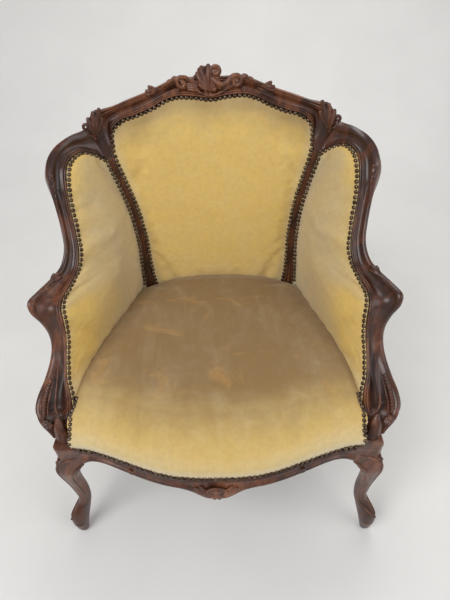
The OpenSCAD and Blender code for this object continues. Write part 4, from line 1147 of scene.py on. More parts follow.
def carveWing(name):   # bead in its leaf sheath, running out along the outer roll
    c = Carving(ribbonMap(15.1, 0.73))
    for a, b, r in ((0, 0, 6.4), (13, 1.5, 4.8), (22, 3, 3.8)):
        c.bead((a, b, 2), (r * 1.25, r * 0.9, r))
    c.rod([(28, 4, 1.5), (46, 6, 1.5), (70, 8, 0)], [3, 2.2, 0.8])
    c.petals((-5, 0, 2), 3, ((-32, 6, 1), 3.6), ((-38, -1, 1), 4.0), ((-30, -8, 0), 3.4))
    c.rod([(-9, -8, 0), (-8, 0, 6), (-9, 8, 0)], [2, 2.2, 2])
    return c.finish(name)


def carveArm(name):
    c = Carving(ribbonMap(20.1, 0.88))
    c.petals((12, -4, 2), 3, ((-16, 5, 2), 4.4), ((-21, -3, 2), 4.8), ((-15, -12, 0), 4.2))
    c.bead((15, -4, 2), (5.5, 4.4, 4.6))
    c.rod([(18, -4, 1), (34, -3, 0), (52, -1, -1)], [3.2, 2.2, 0.8])
    return c.finish(name)


def carveSupport(name):   # gadroons down the outer roll, the neck on the block, a rosette on the foot
    c = Carving(ribbonMap(28.05, 0.72))
    reach = (table(30.2, lengthTable) - table(28.05, lengthTable)) * 1000
    for k in range(12):
        t = k / 11
        c.bead((reach * t, 5 * t, 1.5), (3.7, 7 - 2 * t, 4), 18)
    c.rod([(0, -9, 0), (reach * 0.5, -7, 0.5), (reach, -3, 0)], [1.2, 1.9, 1.4])
    # ridge round the spoon hollow, turning in to the seat above the foot
    c.rod([(-46, -14, -2), (-10, -18, -1), (30, -21, 0), (62, -22, 1), (80, -27, 2), (88, -38, 1)],
          [1.0, 1.8, 2.1, 2.4, 2.4, 1.8])
    c.at = flatMap(Vector((0.341, -0.262, 0.388)), (1, 0, 0), (0, 0.2, 1))
    c.rod([(9, 25, -17), (7, 10, -14), (4, -7, -12), (0, -24, -10)], [8, 14, 17.5, 21], 0.8)
    c.at = ribbonMap(30.7, 0.8)
    c.bead((0, 0, -2), (12, 12, 6))
    for k in range(8):
        t = math.radians(45 * k + 20)
        c.petal((2 * math.cos(t), 2 * math.sin(t), 3), (9.5 * math.cos(t), 9.5 * math.sin(t), 1.5), 3.6, 1.5)
    c.bead((0, 0, 3.5), (4, 4, 4))
    return c.finish(name)


def carveRail(name):   # oval cartouche with C-scrolls, a small scroll towards each knee, a bead on the edge
    c = Carving(lambda a, b, z: Vector((a, frontY(a) - z, 0.317 + b)))
    c.bead((0, 6, 4), (17, 11, 6))
    c.rod([(20 * math.cos(t), 6 + 14 * math.sin(t), 6) for t in span(0, 2 * math.pi, 16)], [2.6, 2.6])
    c.petals((0, 0, 5), 3, ((-18, -17, 5), 4.6), ((-6, -22, 6), 5), ((6, -22, 6), 5), ((18, -17, 5), 4.6))
    for s in (1, -1):
        turn = lambda t: t if s > 0 else 180 - t   # mirrors an angle
        c.rod([(16 * s, -6, 3), (30 * s, -6, 4), (42 * s, 2, 4)]
              + curl((42 * s, 12, 4), 8, 3, turn(-70), turn(200)), [2.4, 3.2, 2.8, 2])
        c.petal((20 * s, 8, 2), (34 * s, 20, 2), 3.4, 2)
        c.rod([(48 * s, 8, 2), (66 * s, 15, 2), (92 * s, 19, 1)], [3, 2.4, 1])
        c.rod([(140 * s, 24, 3), (162 * s, 23, 4), (178 * s, 20, 5)]
              + curl((184 * s, 26, 5), 7, 2.6, turn(-110), turn(190)), [1.4, 2.8, 2.8, 1.8])
        c.rod([(188 * s, 21, 4), (208 * s, 23, 4), (236 * s, 26, 2)], [3, 2.6, 1.2])
    edge = [(x, (table(abs(x) / 1000, railEdgeTable) - 0.317) * 1000 + 2.4, 4.5) for x in span(-298, 298, 60)]
    c.rod(edge, [2.2, 2.6, 2.2])
    return c.finish(name)


def legPoint(degrees, z, lift):   # on the leg's skin; 0 looks outwards on the diagonal, -45 to the front
    rows = [row[0] for row in cabriole]
    k = next(i for i in range(len(rows) - 1) if z >= rows[i + 1])
    ring = legRing(rowsBetween(cabriole, k + (rows[k] - z) / (rows[k] - rows[k + 1])), legSettings)
    mid = sum(ring, Vector()) / len(ring)
    u = degrees / 360 * len(ring)
    i = math.floor(u)
    p = ring[i % len(ring)].lerp(ring[(i + 1) % len(ring)], u - i)
    return p + (p - mid).normalized() * lift


def carveLeg(name):   # edge lines that flow out of the rail's moulding, and a rounded toe with its bead
    c = Carving(lambda a, b, z: legPoint(a * 1000, b * 1000, z))
    c.rod([(-128, 324, 0), (-98, 316, 0.4), (-70, 300, 0.5), (-62, 276, 0.4), (-66, 240, 0.3),
           (-72, 200, 0.2), (-72, 150, 0.2), (-62, 116, 0.4), (-46, 100, 0.6), (-30, 90, 0.6),
           (-14, 84, 0.6)], [2.6, 3.0, 2.8, 2.4, 2.4, 2.0])
    c.rod([(-60, 334, 0), (-34, 322, 0.4), (-8, 304, 0.4), (4, 276, 0.3), (4, 236, 0.3), (4, 190, 0.2),
           (4, 150, 0)], [2.2, 2.8, 2.6, 2.0, 1.0])
    c.rod([(60, 330, 0), (52, 306, 0.4), (62, 276, 0.3), (70, 236, 0.3), (72, 190, 0.2), (66, 150, 0.2),
           (58, 116, 0.4), (44, 100, 0.6), (28, 90, 0.6), (12, 84, 0.6)], [2.2, 2.6, 2.2, 2.4, 2.4, 2.0])
    c.bead((-2, 79, 0.6), (12, 5, 4))
    c.bead((18, 318, 0.5), (7, 7, 4))
    out, side = Vector((1, -1, 0)).normalized(), Vector((1, 1, 0)).normalized()
    foot = Vector((legSettings["block"][0], legSettings["block"][1], 0)) + out * 0.060 + Vector((0, 0, 0.044))
    c.at = flatMap(foot, side, (0.25, -0.25, 1))
    c.bead((0, -2, 2), (17.5, 24, 15))
    return c.finish(name)


crestCarving = carveCrest("crestCarving")
cornerRight = carveCorner("cornerSprayRight")
wingCarving = carveWing("wingCarvingRight")
armCarving = carveArm("armCarvingRight")
supportCarving = carveSupport("supportCarvingRight")
railCarving = carveRail("railCarving")
legCarving = carveLeg("legCarvingRight")
print("carvings made")

# Outside covers and the sheets under the seat

sideRailLine = mm((320, -227.85, 0), (314, -150, 0), (301, -40, 0), (282, 59.9, 0), (252.5, 140, 0),
                  (228.5, 195, 0), (213.65, 221, 0))
railStops = [(0, 5.6), (0.2, 4.5), (0.4, 3.6), (0.6, 2.6), (0.8, 1.6), (1, 0.6)]
outsideSettings = {
    "gap": 0.0009, "rollGap": 0.0044, "bow": 0.016, "cloth": 0.0015, "low": 0.338,
    "sideGrid": (120, 36), "backGrid": (90, 60),
    "railShare": 0.93,     # share of the height where the side cover meets the rail
    "backCorner": (0.1855, 0.2414, 0.338),
}


def outsideNear(v):
    k = rowStile(v)
    f = stileFrame(min(k, 9))
    p = stilePoint(min(k, 9), f[3] + stileSettings["lip"] - 0.001, -0.036 - outsideSettings["gap"])
    return p - Vector((0, 0, max(k - 9, 0) * 0.024))


def outsideFar(v):
    u = rowRibbon(v)
    return ribbonPoint(u, ribbonFrame(u)[3] - 0.011, -0.032 - outsideSettings["rollGap"])


def railSide(u, lift):
    k = table(u, railStops)
    p = along(sideRailLine, k)
    run = along(sideRailLine, min(k + 0.2, 6)) - along(sideRailLine, max(k - 0.2, 0))
    a = Vector((run.y, -run.x, 0)).normalized() * (0.013 + outsideSettings["gap"] + lift)
    return Vector((p.x + a.x, p.y + a.y, outsideSettings["low"]))


def outsidePoint(t, u, lift):   # t from 0 at the top to 1 at the rail
    share = outsideSettings["railShare"]
    v = mix(0.038, 0.9667, min(t / share, 1))
    face = -panelFace(v)
    p = outsideNear(v).lerp(outsideFar(v), u) + face * (lift + outsideSettings["bow"] * 4 * u * (1 - u))
    if t > share:
        p = p.lerp(railSide(u, lift), (t - share) / (1 - share))
    return p


def clothSheet(name, size, left, point, thick):   # size: rows and columns, from 0 and left to 1 and 1
    return gridBody(name, span(0, 1, size[0]), span(left, 1, size[1]),
                    lambda v, u: point(v, u, thick), lambda v, u: point(v, u, 0))


def declareSheet(piece, width, length):   # the cut's area is half of the thin body's; the length worked out from it is not kept
    area = sum(f.area for f in piece.data.polygons) / 2
    max(length, area / width * 1.001)


outsideRight = clothSheet("outsideArmRight", outsideSettings["sideGrid"], 0, outsidePoint,
                          outsideSettings["cloth"])
turnedOut(outsideRight, outsidePoint(0.5, 0.5, outsideSettings["cloth"]), -panelFace(0.5))


def outsideEdge(v):
    s = outsideSettings
    if v < 0.1:
        return Vector(s["backCorner"]).lerp(stilePoint(9, 0.004, -0.0369), v / 0.1)
    if v < 0.86:
        return stilePoint(9 - (v - 0.1) / 0.76 * 8.5, 0.004, -0.036 - mix(s["gap"], s["rollGap"], v))
    return ribbonPoint(mix(8, cornerStation, (v - 0.86) / 0.14), 0.012, -0.0364)


def outsideBack(v, u, lift):
    e, c0, c1 = outsideEdge(v), outsideEdge(0), outsideEdge(1)
    foot = Vector((u * c0.x, c0.y + 0.024 * (1 - u * u), c0.z))
    top = ribbonPoint(u * cornerStation, 0.012, -0.034)
    return patch(foot, top, e, c0, c1, u, v) - backFace * lift


outsideBackSheet = clothSheet("outsideBack", outsideSettings["backGrid"], -1, outsideBack,
                              outsideSettings["cloth"])
turnedOut(outsideBackSheet, outsideBack(0.5, 0, outsideSettings["cloth"]), -backFace)

underSettings = {"grid": (60, 60), "rear": 0.218, "bow": 0.024, "half": 0.1775}   # the back edge and its bow
underSide = (mm((299, -272, 0), (299, -220, 0)) + [along(sideRailLine, k) for k in (0.4, 1, 2, 3, 4, 4.6)]
             + mm((173.5, 189, 0)))   # the right side's plan, front to back


def underPlan(u, v, front, s=underSettings):
    r = along(underSide, v * 8)
    f0, b0 = underSide[0], underSide[-1]
    x = u * f0.x
    low = Vector((x, frontY(x) + front, 0))
    xb = u * b0.x
    yb = s["rear"] + s["bow"] * (1 - (xb / s["half"]) ** 2)
    high = Vector((xb, mix(yb, b0.y, smooth(0.94, 1, abs(u))), 0))
    f0 = Vector((f0.x, frontY(f0.x) + front, 0))
    r = r + (f0 - underSide[0]) * (1 - smooth(0, 0.12, v))
    return patch(low, high, r, f0, b0, u, v)


def flatSheet(name, z, thick, front, sag):
    def at(v, u, lift):
        p = underPlan(u, v, front)
        inside = min(1.0, 6 * v * (1 - v)) * min(1.0, 2.5 * (1 - u * u))
        p.z = z + lift - sag * inside + sag * 0.35 * cloudy(p, 0.05, z * 50) * inside
        return p
    sheet = clothSheet(name, underSettings["grid"], -1, at, thick)
    return turnedOut(sheet, Vector((0, 0, z + thick)), Vector((0, 0, 1)))


dustCover = flatSheet("dustCover", 0.3316, 0.0008, 0.016, 0.0022)
springSheet = flatSheet("springSheet", 0.3962, 0.0010, 0.012, 0.0)
print("outside covers made")


nailSettings = {
    "radius": 0.0054, "height": 0.0038, "pitch": 0.0115, "sides": 10, "rings": 4,
    "tilt": 0.09, "uneven": (0.94, 1.05),
    # where each row starts and ends on its own line
    "wing": (0.012, 0.955), "stileOuter": (0.02, 0.865), "stileInner": (0.055, 0.875), "crest": (-7.75, 7.75),
    "seat": (0, 0.985), "corner": (0.03, 1),
}


def surfaceOf(ob):
    return BVHTree.FromPolygons([v.co for v in ob.data.vertices],
                                [tuple(f.vertices) for f in ob.data.polygons])


def nailLine(row, point, tree, face, s=nailSettings):   # evenly spaced places on the cloth with their normals
    got = []
    for t in paced(point, *s[row], s["pitch"]):
        p, n = point(t), face(t)
        hit = tree.ray_cast(p + n * 0.03, -n, 0.06)[0]
        got.append((hit or p, n))
    return got


def nailTree(s):   # an uneven dome on every point, turned to its normal
    tree = bpy.data.node_groups.new("nailsOnPoints", "GeometryNodeTree")
    face = tree.interface
    face.new_socket("Geometry", in_out="INPUT", socket_type="NodeSocketGeometry")
    for name, value in (("Radius", s["radius"]), ("Height", s["height"])):
        face.new_socket(name, in_out="INPUT", socket_type="NodeSocketFloat").default_value = value
    face.new_socket("Metal", in_out="INPUT", socket_type="NodeSocketMaterial")
    face.new_socket("Geometry", in_out="OUTPUT", socket_type="NodeSocketGeometry")
    nodes, links = tree.nodes, tree.links

    def node(kind, inputs=(), **settings):
        n = nodes.new(kind)
        for key, value in settings.items():
            setattr(n, key, value)
        for key, value in dict(inputs).items():
            if isinstance(value, bpy.types.NodeSocket):
                links.new(value, n.inputs[key])
            else:
                n.inputs[key].default_value = value
        return n
    given, out = node("NodeGroupInput"), node("NodeGroupOutput")
    ball = node("GeometryNodeMeshUVSphere", {"Segments": s["sides"], "Rings": s["rings"] * 2, "Radius": 1.0})
    place = node("GeometryNodeInputPosition")
    parts = node("ShaderNodeSeparateXYZ", {0: place.outputs[0]})
    below = node("FunctionNodeCompare", {0: parts.outputs[2], 1: -0.3}, operation="LESS_THAN")
    dome = node("GeometryNodeDeleteGeometry", {0: ball.outputs[0], 1: below.outputs[0]}, domain="POINT")
    size = node("ShaderNodeCombineXYZ", {0: given.outputs["Radius"], 1: given.outputs["Radius"],
                                         2: given.outputs["Height"]})
    small = node("GeometryNodeTransform", {0: dome.outputs[0], "Scale": size.outputs[0]})
    normal = node("GeometryNodeInputNamedAttribute", {0: "facing"}, data_type="FLOAT_VECTOR")
    turned = node("FunctionNodeAlignRotationToVector", {"Vector": normal.outputs[0]}, axis="Z")
    tilt = node("FunctionNodeRandomValue", {0: (-s["tilt"], -s["tilt"], 0), 1: (s["tilt"], s["tilt"], 6.3),
                                            "Seed": 11}, data_type="FLOAT_VECTOR")
    both = node("FunctionNodeRotateRotation", {0: turned.outputs[0], 1: tilt.outputs[0]},
                rotation_space="LOCAL")
    grow = node("FunctionNodeRandomValue", {2: s["uneven"][0], 3: s["uneven"][1], "Seed": 5},
                data_type="FLOAT")
    many = node("GeometryNodeInstanceOnPoints", {0: given.outputs[0], 2: small.outputs[0], 5: both.outputs[0],
                                                 6: grow.outputs[1]})
    real = node("GeometryNodeRealizeInstances", {0: many.outputs[0]})
    soft = node("GeometryNodeSetShadeSmooth", {0: real.outputs[0]})
    metal = node("GeometryNodeSetMaterial", {0: soft.outputs[0], "Material": given.outputs["Metal"]})
    links.new(metal.outputs[0], out.inputs[0])
    return tree


def makeNails(name, places, tree, metal):
    ob = meshPiece(name, [p for p, n in places], [], False)
    layer = ob.data.attributes.new("facing", "FLOAT_VECTOR", "POINT")
    layer.data.foreach_set("vector", [c for p, n in places for c in n])
    mod = ob.modifiers.new("nails", "NODES")
    mod.node_group = tree
    for item in tree.interface.items_tree:
        if item.item_type == "SOCKET" and item.in_out == "INPUT" and item.name == "Metal":
            mod[item.identifier] = metal
    applied(ob)
    return ob


def seatNail(t):   # along the foot of the seat's border, rising a little at the block
    x = t * (blockX - 0.016)
    return Vector((x, frontY(x) - 0.001, seatSettings["nailZ"] + 0.0022 + 0.0036 * smooth(0.86, 0.97, t)))


def cornerNail(t):   # up and over the block, beside the arm support
    p = along(cornerLine, t * 2.9)
    inwards = 0.0035 + 0.0035 * math.sin(math.pi * min(1, t / 0.45))
    return Vector((p.x - inwards, p.y - 0.004 * (1 - t), mix(0.376, 0.43, smooth(0.0, 0.4, t))))


def nailPlaces():
    side, back, seat = surfaceOf(sideRight), surfaceOf(backPad), surfaceOf(seatPad)
    lines = {   # the line, the cloth and the way the nails face
        "wing": (lambda v: panelFar(v) + (panelNear(v) - panelFar(v)).normalized() * 0.0042, side, panelFace),
        "stileOuter": (lambda v: panelNear(v, True).lerp(panelNear(v), 0.33), side,
                       lambda v: (panelFace(v) + stileFrame(rowStile(v))[2]).normalized()),
        "stileInner": (lambda v: backEdge(v, 0.0047), back,
                       lambda v: (backFace + stileFrame(backStile(v))[2] * 0.5).normalized()),
        "crest": (lambda u: ribbonPoint(u, -0.0046, -0.003), back, lambda u: backFace),
        "seat": (seatNail, seat, lambda t: Vector((0, -1, 0.3)).normalized()),
        "corner": (cornerNail, seat, lambda t: Vector((0.12, -0.62, 0.78)).normalized()),
    }
    return {row: nailLine(row, *line) for row, line in lines.items()}


places = nailPlaces()
print("nail places:", {k: len(r) for k, r in places.items()})


class Value:   # a shader socket that can be used in sums
    def __init__(self, paint, socket):
        self.paint, self.socket = paint, socket

    def sum(self, operation, a, b):
        return self.paint.node("ShaderNodeMath", {0: a, 1: b}, operation=operation)

    def __add__(self, other):
        return self.sum("ADD", self, other)

    def __sub__(self, other):
        return self.sum("SUBTRACT", self, other)

    def __rsub__(self, other):
        return self.sum("SUBTRACT", other, self)

    def __mul__(self, other):
        return self.sum("MULTIPLY", self, other)

    __radd__, __rmul__ = __add__, __mul__


class Paint:   # one material and the nodes in it
    def __init__(self, name, **fixed):
        self.material = bpy.data.materials.new(name)
        self.material.use_nodes = True
        self.tree = self.material.node_tree
        self.shader = self.tree.nodes["Principled BSDF"]
        for key, value in fixed.items():
            self.shader.inputs[key.replace("_", " ")].default_value = value

    def node(self, kind, inputs, output=0, **settings):
        n = self.tree.nodes.new(kind)
        for key, value in settings.items():
            setattr(n, key, value)
        for key, value in inputs.items():
            if isinstance(value, Value):
                self.tree.links.new(value.socket, n.inputs[key])
            elif value is not None:
                n.inputs[key].default_value = value
        return Value(self, n.outputs[output])

    def place(self):
        return self.node("ShaderNodeTexCoord", {}, output="Object")

    def scaled(self, place, scale, turn=(0, 0, 0)):   # stretches a pattern
        return self.node("ShaderNodeMapping", {"Vector": place, "Scale": scale, "Rotation": turn})

    def noise(self, place, scale, detail=3.0, rough=0.5, distortion=0.0):
        return self.node("ShaderNodeTexNoise", {"Vector": place, "Scale": scale, "Detail": detail,
                                                "Roughness": rough, "Distortion": distortion}, output="Fac")

    def wave(self, place, scale, distortion, direction):
        return self.node("ShaderNodeTexWave", {"Vector": place, "Scale": scale, "Distortion": distortion,
                                               "Detail": 1.0}, output="Fac", bands_direction=direction)

    def attribute(self, name):
        return self.node("ShaderNodeAttribute", {}, output="Fac", attribute_name=name)

    def fit(self, value, low, high, a=0.0, b=1.0):   # low to high becomes a to b, with soft ends
        return self.node("ShaderNodeMapRange", {"Value": value, "From Min": low, "From Max": high,
                                                "To Min": a, "To Max": b}, interpolation_type="SMOOTHSTEP")

    def colours(self, share, a, b):   # from a to b as the share rises
        wrap = lambda c: c if isinstance(c, Value) else tuple(c) + (1,)
        return self.node("ShaderNodeMix", {0: share, 6: wrap(a), 7: wrap(b)}, output=2, data_type="RGBA")

    def into(self, **links):   # what changes over the surface
        for key, value in links.items():
            self.tree.links.new(value.socket, self.shader.inputs[key.replace("_", " ")])
        return self.material

    def bump(self, height, strength, distance, under=None):
        inputs = {"Height": height, "Strength": strength, "Distance": distance}
        if under is not None:
            inputs["Normal"] = under
        return self.node("ShaderNodeBump", inputs)


# the darkest colour is the glaze in the pores, and in the hollows glaze with painted shade
walnutSettings = {
    "dark": (0.034, 0.0115, 0.0060), "mid": (0.122, 0.038, 0.0170), "light": (0.250, 0.092, 0.038),
    "glazeAndShade": (0.015, 0.0055, 0.004),
}


def walnutPaint(name, s, carved=False):
    m = Paint(name, Specular_IOR_Level=0.4, Coat_Roughness=0.24, Coat_IOR=1.5)
    place = m.place()
    slow = m.noise(place, 5.0, 2.0)
    if carved:
        run = m.scaled(place, (60, 60, 9))
    else:
        grain = m.attribute("grain")
        xyz = m.node("ShaderNodeVectorMath", {0: place, 1: (70.0, 70.0, 70.0)}, operation="MULTIPLY")
        streak = m.node("ShaderNodeCombineXYZ", {0: grain * 7.0, 1: 0.0, 2: 0.0})
        run = m.node("ShaderNodeVectorMath", {0: m.scaled(xyz, (0.45, 0.45, 0.12)), 1: streak},
                     operation="ADD")
    figure = m.noise(run, 1.0, 4.0, 0.6, 0.4)
    fine = m.noise(m.scaled(place, (900, 900, 160)), 1.0, 2.0, 0.6)
    pores = m.fit(fine, 0.60, 0.72)
    share = m.fit(figure + (slow - 0.5) * 0.6, 0.30, 0.72)
    tone = m.colours(share, s["dark"], s["mid"])
    tone = m.colours(m.fit(figure * slow, 0.26, 0.46) * 0.8, tone, s["light"])
    tone = m.colours(pores * 0.35, tone, s["glazeAndShade"])
    if carved:
        sharp = m.node("ShaderNodeNewGeometry", {}, output="Pointiness")
        hollow, edge = m.fit(sharp, 0.455, 0.50, 1.0, 0.0), m.fit(sharp, 0.53, 0.60)
    else:
        recess = m.attribute("recess")
        hollow, edge = m.fit(recess, 0.15, 0.75), m.fit(recess, -0.15, -0.7)
    # noise for worn edges; it also gates the painted highlight on the ridges, and the coat
    wearAndPaintedLight = m.fit(m.noise(place, 26.0, 3.0), 0.42, 0.68)
    # hollows darken with glaze and painted shade; worn ridges lighten with wear and a painted highlight
    tone = m.colours(hollow * 0.62, tone, s["glazeAndShade"])
    tone = m.colours(edge * wearAndPaintedLight * 0.55, tone, s["light"])
    dust = m.fit(m.noise(place, 60.0, 4.0, 0.65), 0.55, 0.75)
    rough = m.fit(slow, 0.3, 0.7, 0.30, 0.42) + hollow * 0.2 + dust * 0.08
    bumps = m.bump(fine, 0.10, 0.0004)
    bumps = m.bump(m.noise(place, 120.0, 3.0, 0.55), 0.16, 0.0006, bumps)
    return m.into(Base_Color=tone, Roughness=rough, Coat_Weight=m.fit(wearAndPaintedLight, 0, 1, 0.34, 0.14), Normal=bumps)


velvetSettings = {
    # cream also paints the pile's sheen and highlights, brown also paints shade
    "taupe": (0.470, 0.375, 0.232), "gold": (0.705, 0.470, 0.118), "cream": (0.690, 0.590, 0.385),
    "brown": (0.205, 0.118, 0.045), "stain": (0.075, 0.035, 0.016), "ochre": (0.62, 0.33, 0.09),
    "threads": 260.0,
}


def velvetPaint(name, s):
    m = Paint(name, Roughness=0.85, Specular_IOR_Level=0.18, Sheen_Weight=0.42, Sheen_Roughness=0.42,
              Sheen_Tint=(1.0, 0.93, 0.80, 1.0))
    place = m.place()
    # the gold, pale and brown shares hold wear mixed with painted light: gold and pale are partly painted
    # sheen and highlight, brown partly painted shade
    gold, pale, brown = m.attribute("gold"), m.attribute("pale"), m.attribute("brown")
    big = m.noise(place, 7.0, 3.0, 0.55, 0.3)
    mid = m.noise(m.scaled(place, (1, 1, 1.7)), 21.0, 4.0, 0.6, 0.6)
    small = m.noise(place, 95.0, 3.0, 0.6)
    tone = m.colours(m.fit(gold + (big - 0.5) * 0.55 + (mid - 0.5) * 0.25, 0.05, 0.95), s["taupe"], s["gold"])
    # brown pile: wear mixed with painted shade
    wornAndPaintedLight = m.fit(brown + (big - 0.5) * 0.7 + (mid - 0.5) * 0.45, 0.05, 1.0)
    tone = m.colours(wornAndPaintedLight * 0.85, tone, s["brown"])
    bare = m.fit(m.noise(m.scaled(place, (1.0, 1.6, 1.0)), 9.0, 3.0, 0.6, 1.1), 0.56, 0.72)
    tone = m.colours(bare * brown * 0.28, tone, s["ochre"])
    tone = m.colours(m.fit(pale + (mid - 0.5) * 0.25, 0.05, 1.0), tone, s["cream"])
    # rubbed nap: paler where the pile has been stroked one way, wear with painted sheen
    stroke = m.noise(m.scaled(place, (26, 9, 11), (0.2, 0.1, 0.5)), 1.0, 3.0, 0.55, 0.8)
    tone = m.colours(m.fit(stroke, 0.45, 0.8) * 0.10, tone, s["cream"])
    tone = m.colours(m.fit(small, 0.35, 0.7) * 0.10, tone, s["brown"])
    spots = m.node("ShaderNodeTexVoronoi", {"Vector": place, "Scale": 8.5}, output="Distance")
    tone = m.colours(m.fit(spots, 0.035, 0.012) * m.fit(mid, 0.5, 0.62) * 0.7, tone, s["stain"])
    weave = m.wave(place, s["threads"], 1.5, "DIAGONAL")
    pile = m.bump(m.noise(place, 1400.0, 2.0, 0.7), 0.35, 0.0005)
    pile = m.bump(weave * 0.3 + mid, 0.18, 0.0012, pile)
    return m.into(Base_Color=tone, Normal=pile)


def brassPaint(name):
    m = Paint(name, Metallic=0.9, Specular_IOR_Level=0.5)
    place = m.place()
    patina = m.noise(place, 170.0, 3.0, 0.6)
    tone = m.colours(m.fit(patina, 0.35, 0.65), (0.040, 0.026, 0.018), (0.17, 0.115, 0.075))
    tone = m.colours(m.fit(m.noise(place, 48.0, 2.0), 0.55, 0.75) * 0.4, tone, (0.32, 0.25, 0.18))
    return m.into(Base_Color=tone, Roughness=m.fit(patina, 0.3, 0.7, 0.42, 0.26),
                  Normal=m.bump(m.noise(place, 900.0, 2.0), 0.2, 0.0003))


def clothPaint(name, dark, light, threads):   # plain weave
    m = Paint(name, Specular_IOR_Level=0.15, Sheen_Weight=0.15)
    place = m.place()
    both = m.wave(place, threads, 0.6, "X") * 0.5 + m.wave(place, threads, 0.6, "Y") * 0.5
    soil = m.noise(place, 14.0, 4.0, 0.6)
    tone = m.colours(m.fit(both + (soil - 0.5) * 0.6, 0.2, 0.9), dark, light)
    return m.into(Base_Color=tone, Roughness=m.fit(soil, 0, 1, 0.8, 0.95),
                  Normal=m.bump(both, 0.5, 0.0006))


def beechPaint(name):
    m = Paint(name, Specular_IOR_Level=0.35)
    place = m.place()
    run = m.noise(m.scaled(place, (9, 55, 55)), 1.0, 4.0, 0.6, 0.5)
    tone = m.colours(m.fit(run, 0.3, 0.7), (0.34, 0.20, 0.10), (0.52, 0.35, 0.19))
    pores = m.fit(m.noise(m.scaled(place, (60, 500, 500)), 1.0), 0.55, 0.7)
    tone = m.colours(pores * 0.4, tone, (0.22, 0.12, 0.06))
    return m.into(Base_Color=tone, Roughness=m.fit(run, 0, 1, 0.5, 0.68), Normal=m.bump(run, 0.15, 0.0005))


def steelPaint(name):
    m = Paint(name, Metallic=1.0)
    place = m.place()
    rust = m.fit(m.noise(place, 60.0, 4.0, 0.65), 0.5, 0.68)
    tone = m.colours(rust, (0.30, 0.29, 0.28), (0.15, 0.07, 0.035))
    return m.into(Base_Color=tone, Roughness=m.fit(rust, 0, 1, 0.38, 0.8), Normal=m.bump(rust, 0.2, 0.0004))


walnut = walnutPaint("walnut", walnutSettings)
carvedWalnut = walnutPaint("carvedWalnut", walnutSettings, True)
velvet = velvetPaint("goldVelvet", velvetSettings)
brass = brassPaint("agedBrass")
blackCloth = clothPaint("blackCloth", (0.012, 0.011, 0.012), (0.045, 0.043, 0.045), 240)
jute = clothPaint("jute", (0.16, 0.10, 0.05), (0.42, 0.31, 0.18), 110)
beech = beechPaint("beech")
steel = steelPaint("springSteel")
print("materials made")


def finish(ob, material, slot, *nodes):
    ob.data.materials.clear()
    ob.data.materials.append(material)
    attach(ob, "root")
    if nodes:
        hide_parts(*nodes)
    return ob


def pair(ob, leftName, material, slot, *nodes):   # the right piece and its mirror image
    other = mirrored(ob, leftName)
    finish(ob, material, slot, *[n + "_right" for n in nodes])
    finish(other, material, slot, *[n + "_left" for n in nodes])
    return other


for ob in (crest, wingRight, armRight, supportRight, legRight, postRight, frontRail):
    outward(ob)
    ob.data.set_sharp_from_angle(angle=math.radians(58))
finish(crest, walnut, "walnut", "crest_rail")
for ob, leftName, node in (
        (wingRight, "wingRailLeft", "wing_rail"), (armRight, "armLeft", "arm"),
        (supportRight, "armSupportLeft", "arm_support"), (legRight, "frontLegLeft", "front_leg"),
        (postRight, "backPostLeft", "back_post")):
    pair(ob, leftName, walnut, "walnut", node)
finish(frontRail, walnut, "walnut", "front_rail")

finish(crestCarving, carvedWalnut, "walnut")
finish(railCarving, carvedWalnut, "walnut")
for ob, leftName in (
        (cornerRight, "cornerSprayLeft"), (wingCarving, "wingCarvingLeft"), (armCarving, "armCarvingLeft"),
        (supportCarving, "supportCarvingLeft"), (legCarving, "legCarvingLeft")):
    pair(ob, leftName, carvedWalnut, "walnut")


sideLeft = pair(sideRight, "sidePadLeft", velvet, "velvet", "side_cover", "side_pad")
finish(backPad, velvet, "velvet", "back_cover", "back_pad")
finish(seatPad, velvet, "velvet", "seat_cover", "seat_pad")
for ob in (outsideRight, outsideBackSheet):
    for key, value in (("gold", 0.55), ("pale", 0.12), ("brown", 0.2)):
        addValues(ob, key, [value] * len(ob.data.vertices))
outsideLeft = pair(outsideRight, "outsideArmLeft", velvet, "velvet", "outside_arm_cover")
finish(outsideBackSheet, velvet, "velvet", "outside_back_cover")
declareSheet(outsideRight, 0.36, 0.6)
declareSheet(outsideLeft, 0.36, 0.6)
declareSheet(outsideBackSheet, 0.52, 0.62)
finish(dustCover, blackCloth, "black_cloth", "dust_cover")
declareSheet(dustCover, 0.64, 0.6)
finish(springSheet, jute, "jute", "spring_hessian")
declareSheet(springSheet, 0.64, 0.6)

nails = nailTree(nailSettings)
sideNails = makeNails("wingNailsRight", places["wing"] + places["stileOuter"], nails, brass)
backNails = places["stileInner"] + [(flip(p), flip(n)) for p, n in places["stileInner"]] + places["crest"]
backNails = makeNails("backNails", backNails, nails, brass)
seatRow = places["seat"] + places["corner"]
seatNails = makeNails("seatNails", seatRow + [(flip(p), flip(n)) for p, n in seatRow[1:]], nails, brass)
pair(sideNails, "wingNailsLeft", brass, "")
finish(backNails, brass, "")
finish(seatNails, brass, "")

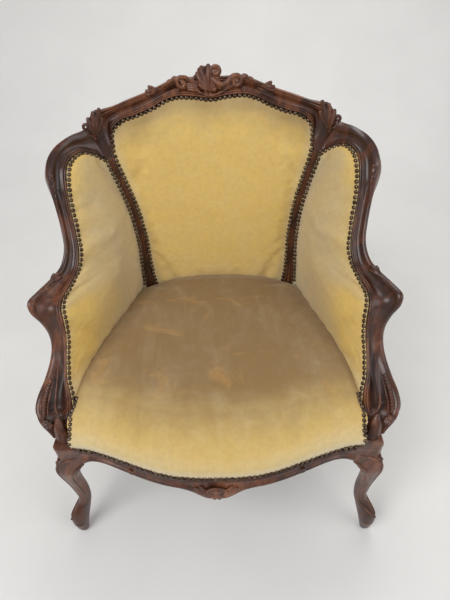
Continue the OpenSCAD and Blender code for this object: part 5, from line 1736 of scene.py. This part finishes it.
# The parts seen as they are take their colours here
for name, kind in (("side_rail_left", beech), ("side_rail_right", beech), ("back_rail", beech),
                   ("corner_blocks", beech), ("frame_dowels", beech), ("seat_webbing", jute),
                   ("back_webbing", jute), ("seat_springs", steel)):
    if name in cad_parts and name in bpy.data.objects:
        ob = bpy.data.objects[name]
        ob.data.materials.clear()
        ob.data.materials.append(kind)


stageSettings = {
    "floor": (0.80, 0.79, 0.77), "sky": (0.97, 0.98, 1.0, 1), "world": 0.42,
    "half": 6, "bend": 1.2,      # half the floor's width, radius of its bend
    "lamps": (("keyLight", 62, 2.2, (-1.6, -1.9, 2.9), (0, 0, 0.5)),
              ("fillLight", 26, 2.6, (2.2, -1.4, 1.9), (0, 0, 0.5)),
              ("backLight", 20, 1.8, (0.4, 1.4, 2.6), (0, 0.1, 0.6))),
}


def softLamp(name, power, size, place, aim):
    lamp = bpy.data.lights.new(name, "AREA")
    lamp.shape, lamp.size, lamp.energy = "DISK", size, power
    ob = bpy.data.objects.new(name, lamp)
    bpy.context.scene.collection.objects.link(ob)
    ob.location = place
    ob.rotation_euler = (Vector(aim) - Vector(place)).to_track_quat("-Z", "Y").to_euler()


def makeStage(s):
    half, r = s["half"], s["bend"]
    profile = [(-half, 0), (r, 0)] + [(r + r * math.sin(a), r - r * math.cos(a))
                                      for a in span(0, math.pi / 2, 16)[1:]] + [(2 * r, half)]
    points = [Vector((x, y, z)) for x in (-half, half) for y, z in profile]
    n = len(profile)
    floor = meshPiece("floor", points, [(k, n + k, n + k + 1, k + 1) for k in range(n - 1)])
    m = Paint("paleFloor", Roughness=0.92, Specular_IOR_Level=0.2)
    place = m.place()
    soft = m.fit(m.noise(place, 3.0, 4.0), 0.3, 0.7)
    tone = m.colours(soft, s["floor"], tuple(c * 0.96 for c in s["floor"]))
    grit = m.bump(m.noise(place, 140.0, 3.0), 0.05, 0.001)
    floor.data.materials.append(m.into(Base_Color=tone, Normal=grit))
    for lamp in s["lamps"]:
        softLamp(*lamp)
    world = bpy.data.worlds.new("studio")
    bpy.context.scene.world = world
    world.use_nodes = True
    sky = world.node_tree.nodes["Background"]
    sky.inputs[0].default_value = s["sky"]
    sky.inputs[1].default_value = s["world"]


makeStage(stageSettings)
bpy.context.scene.view_settings.view_transform = "Standard"
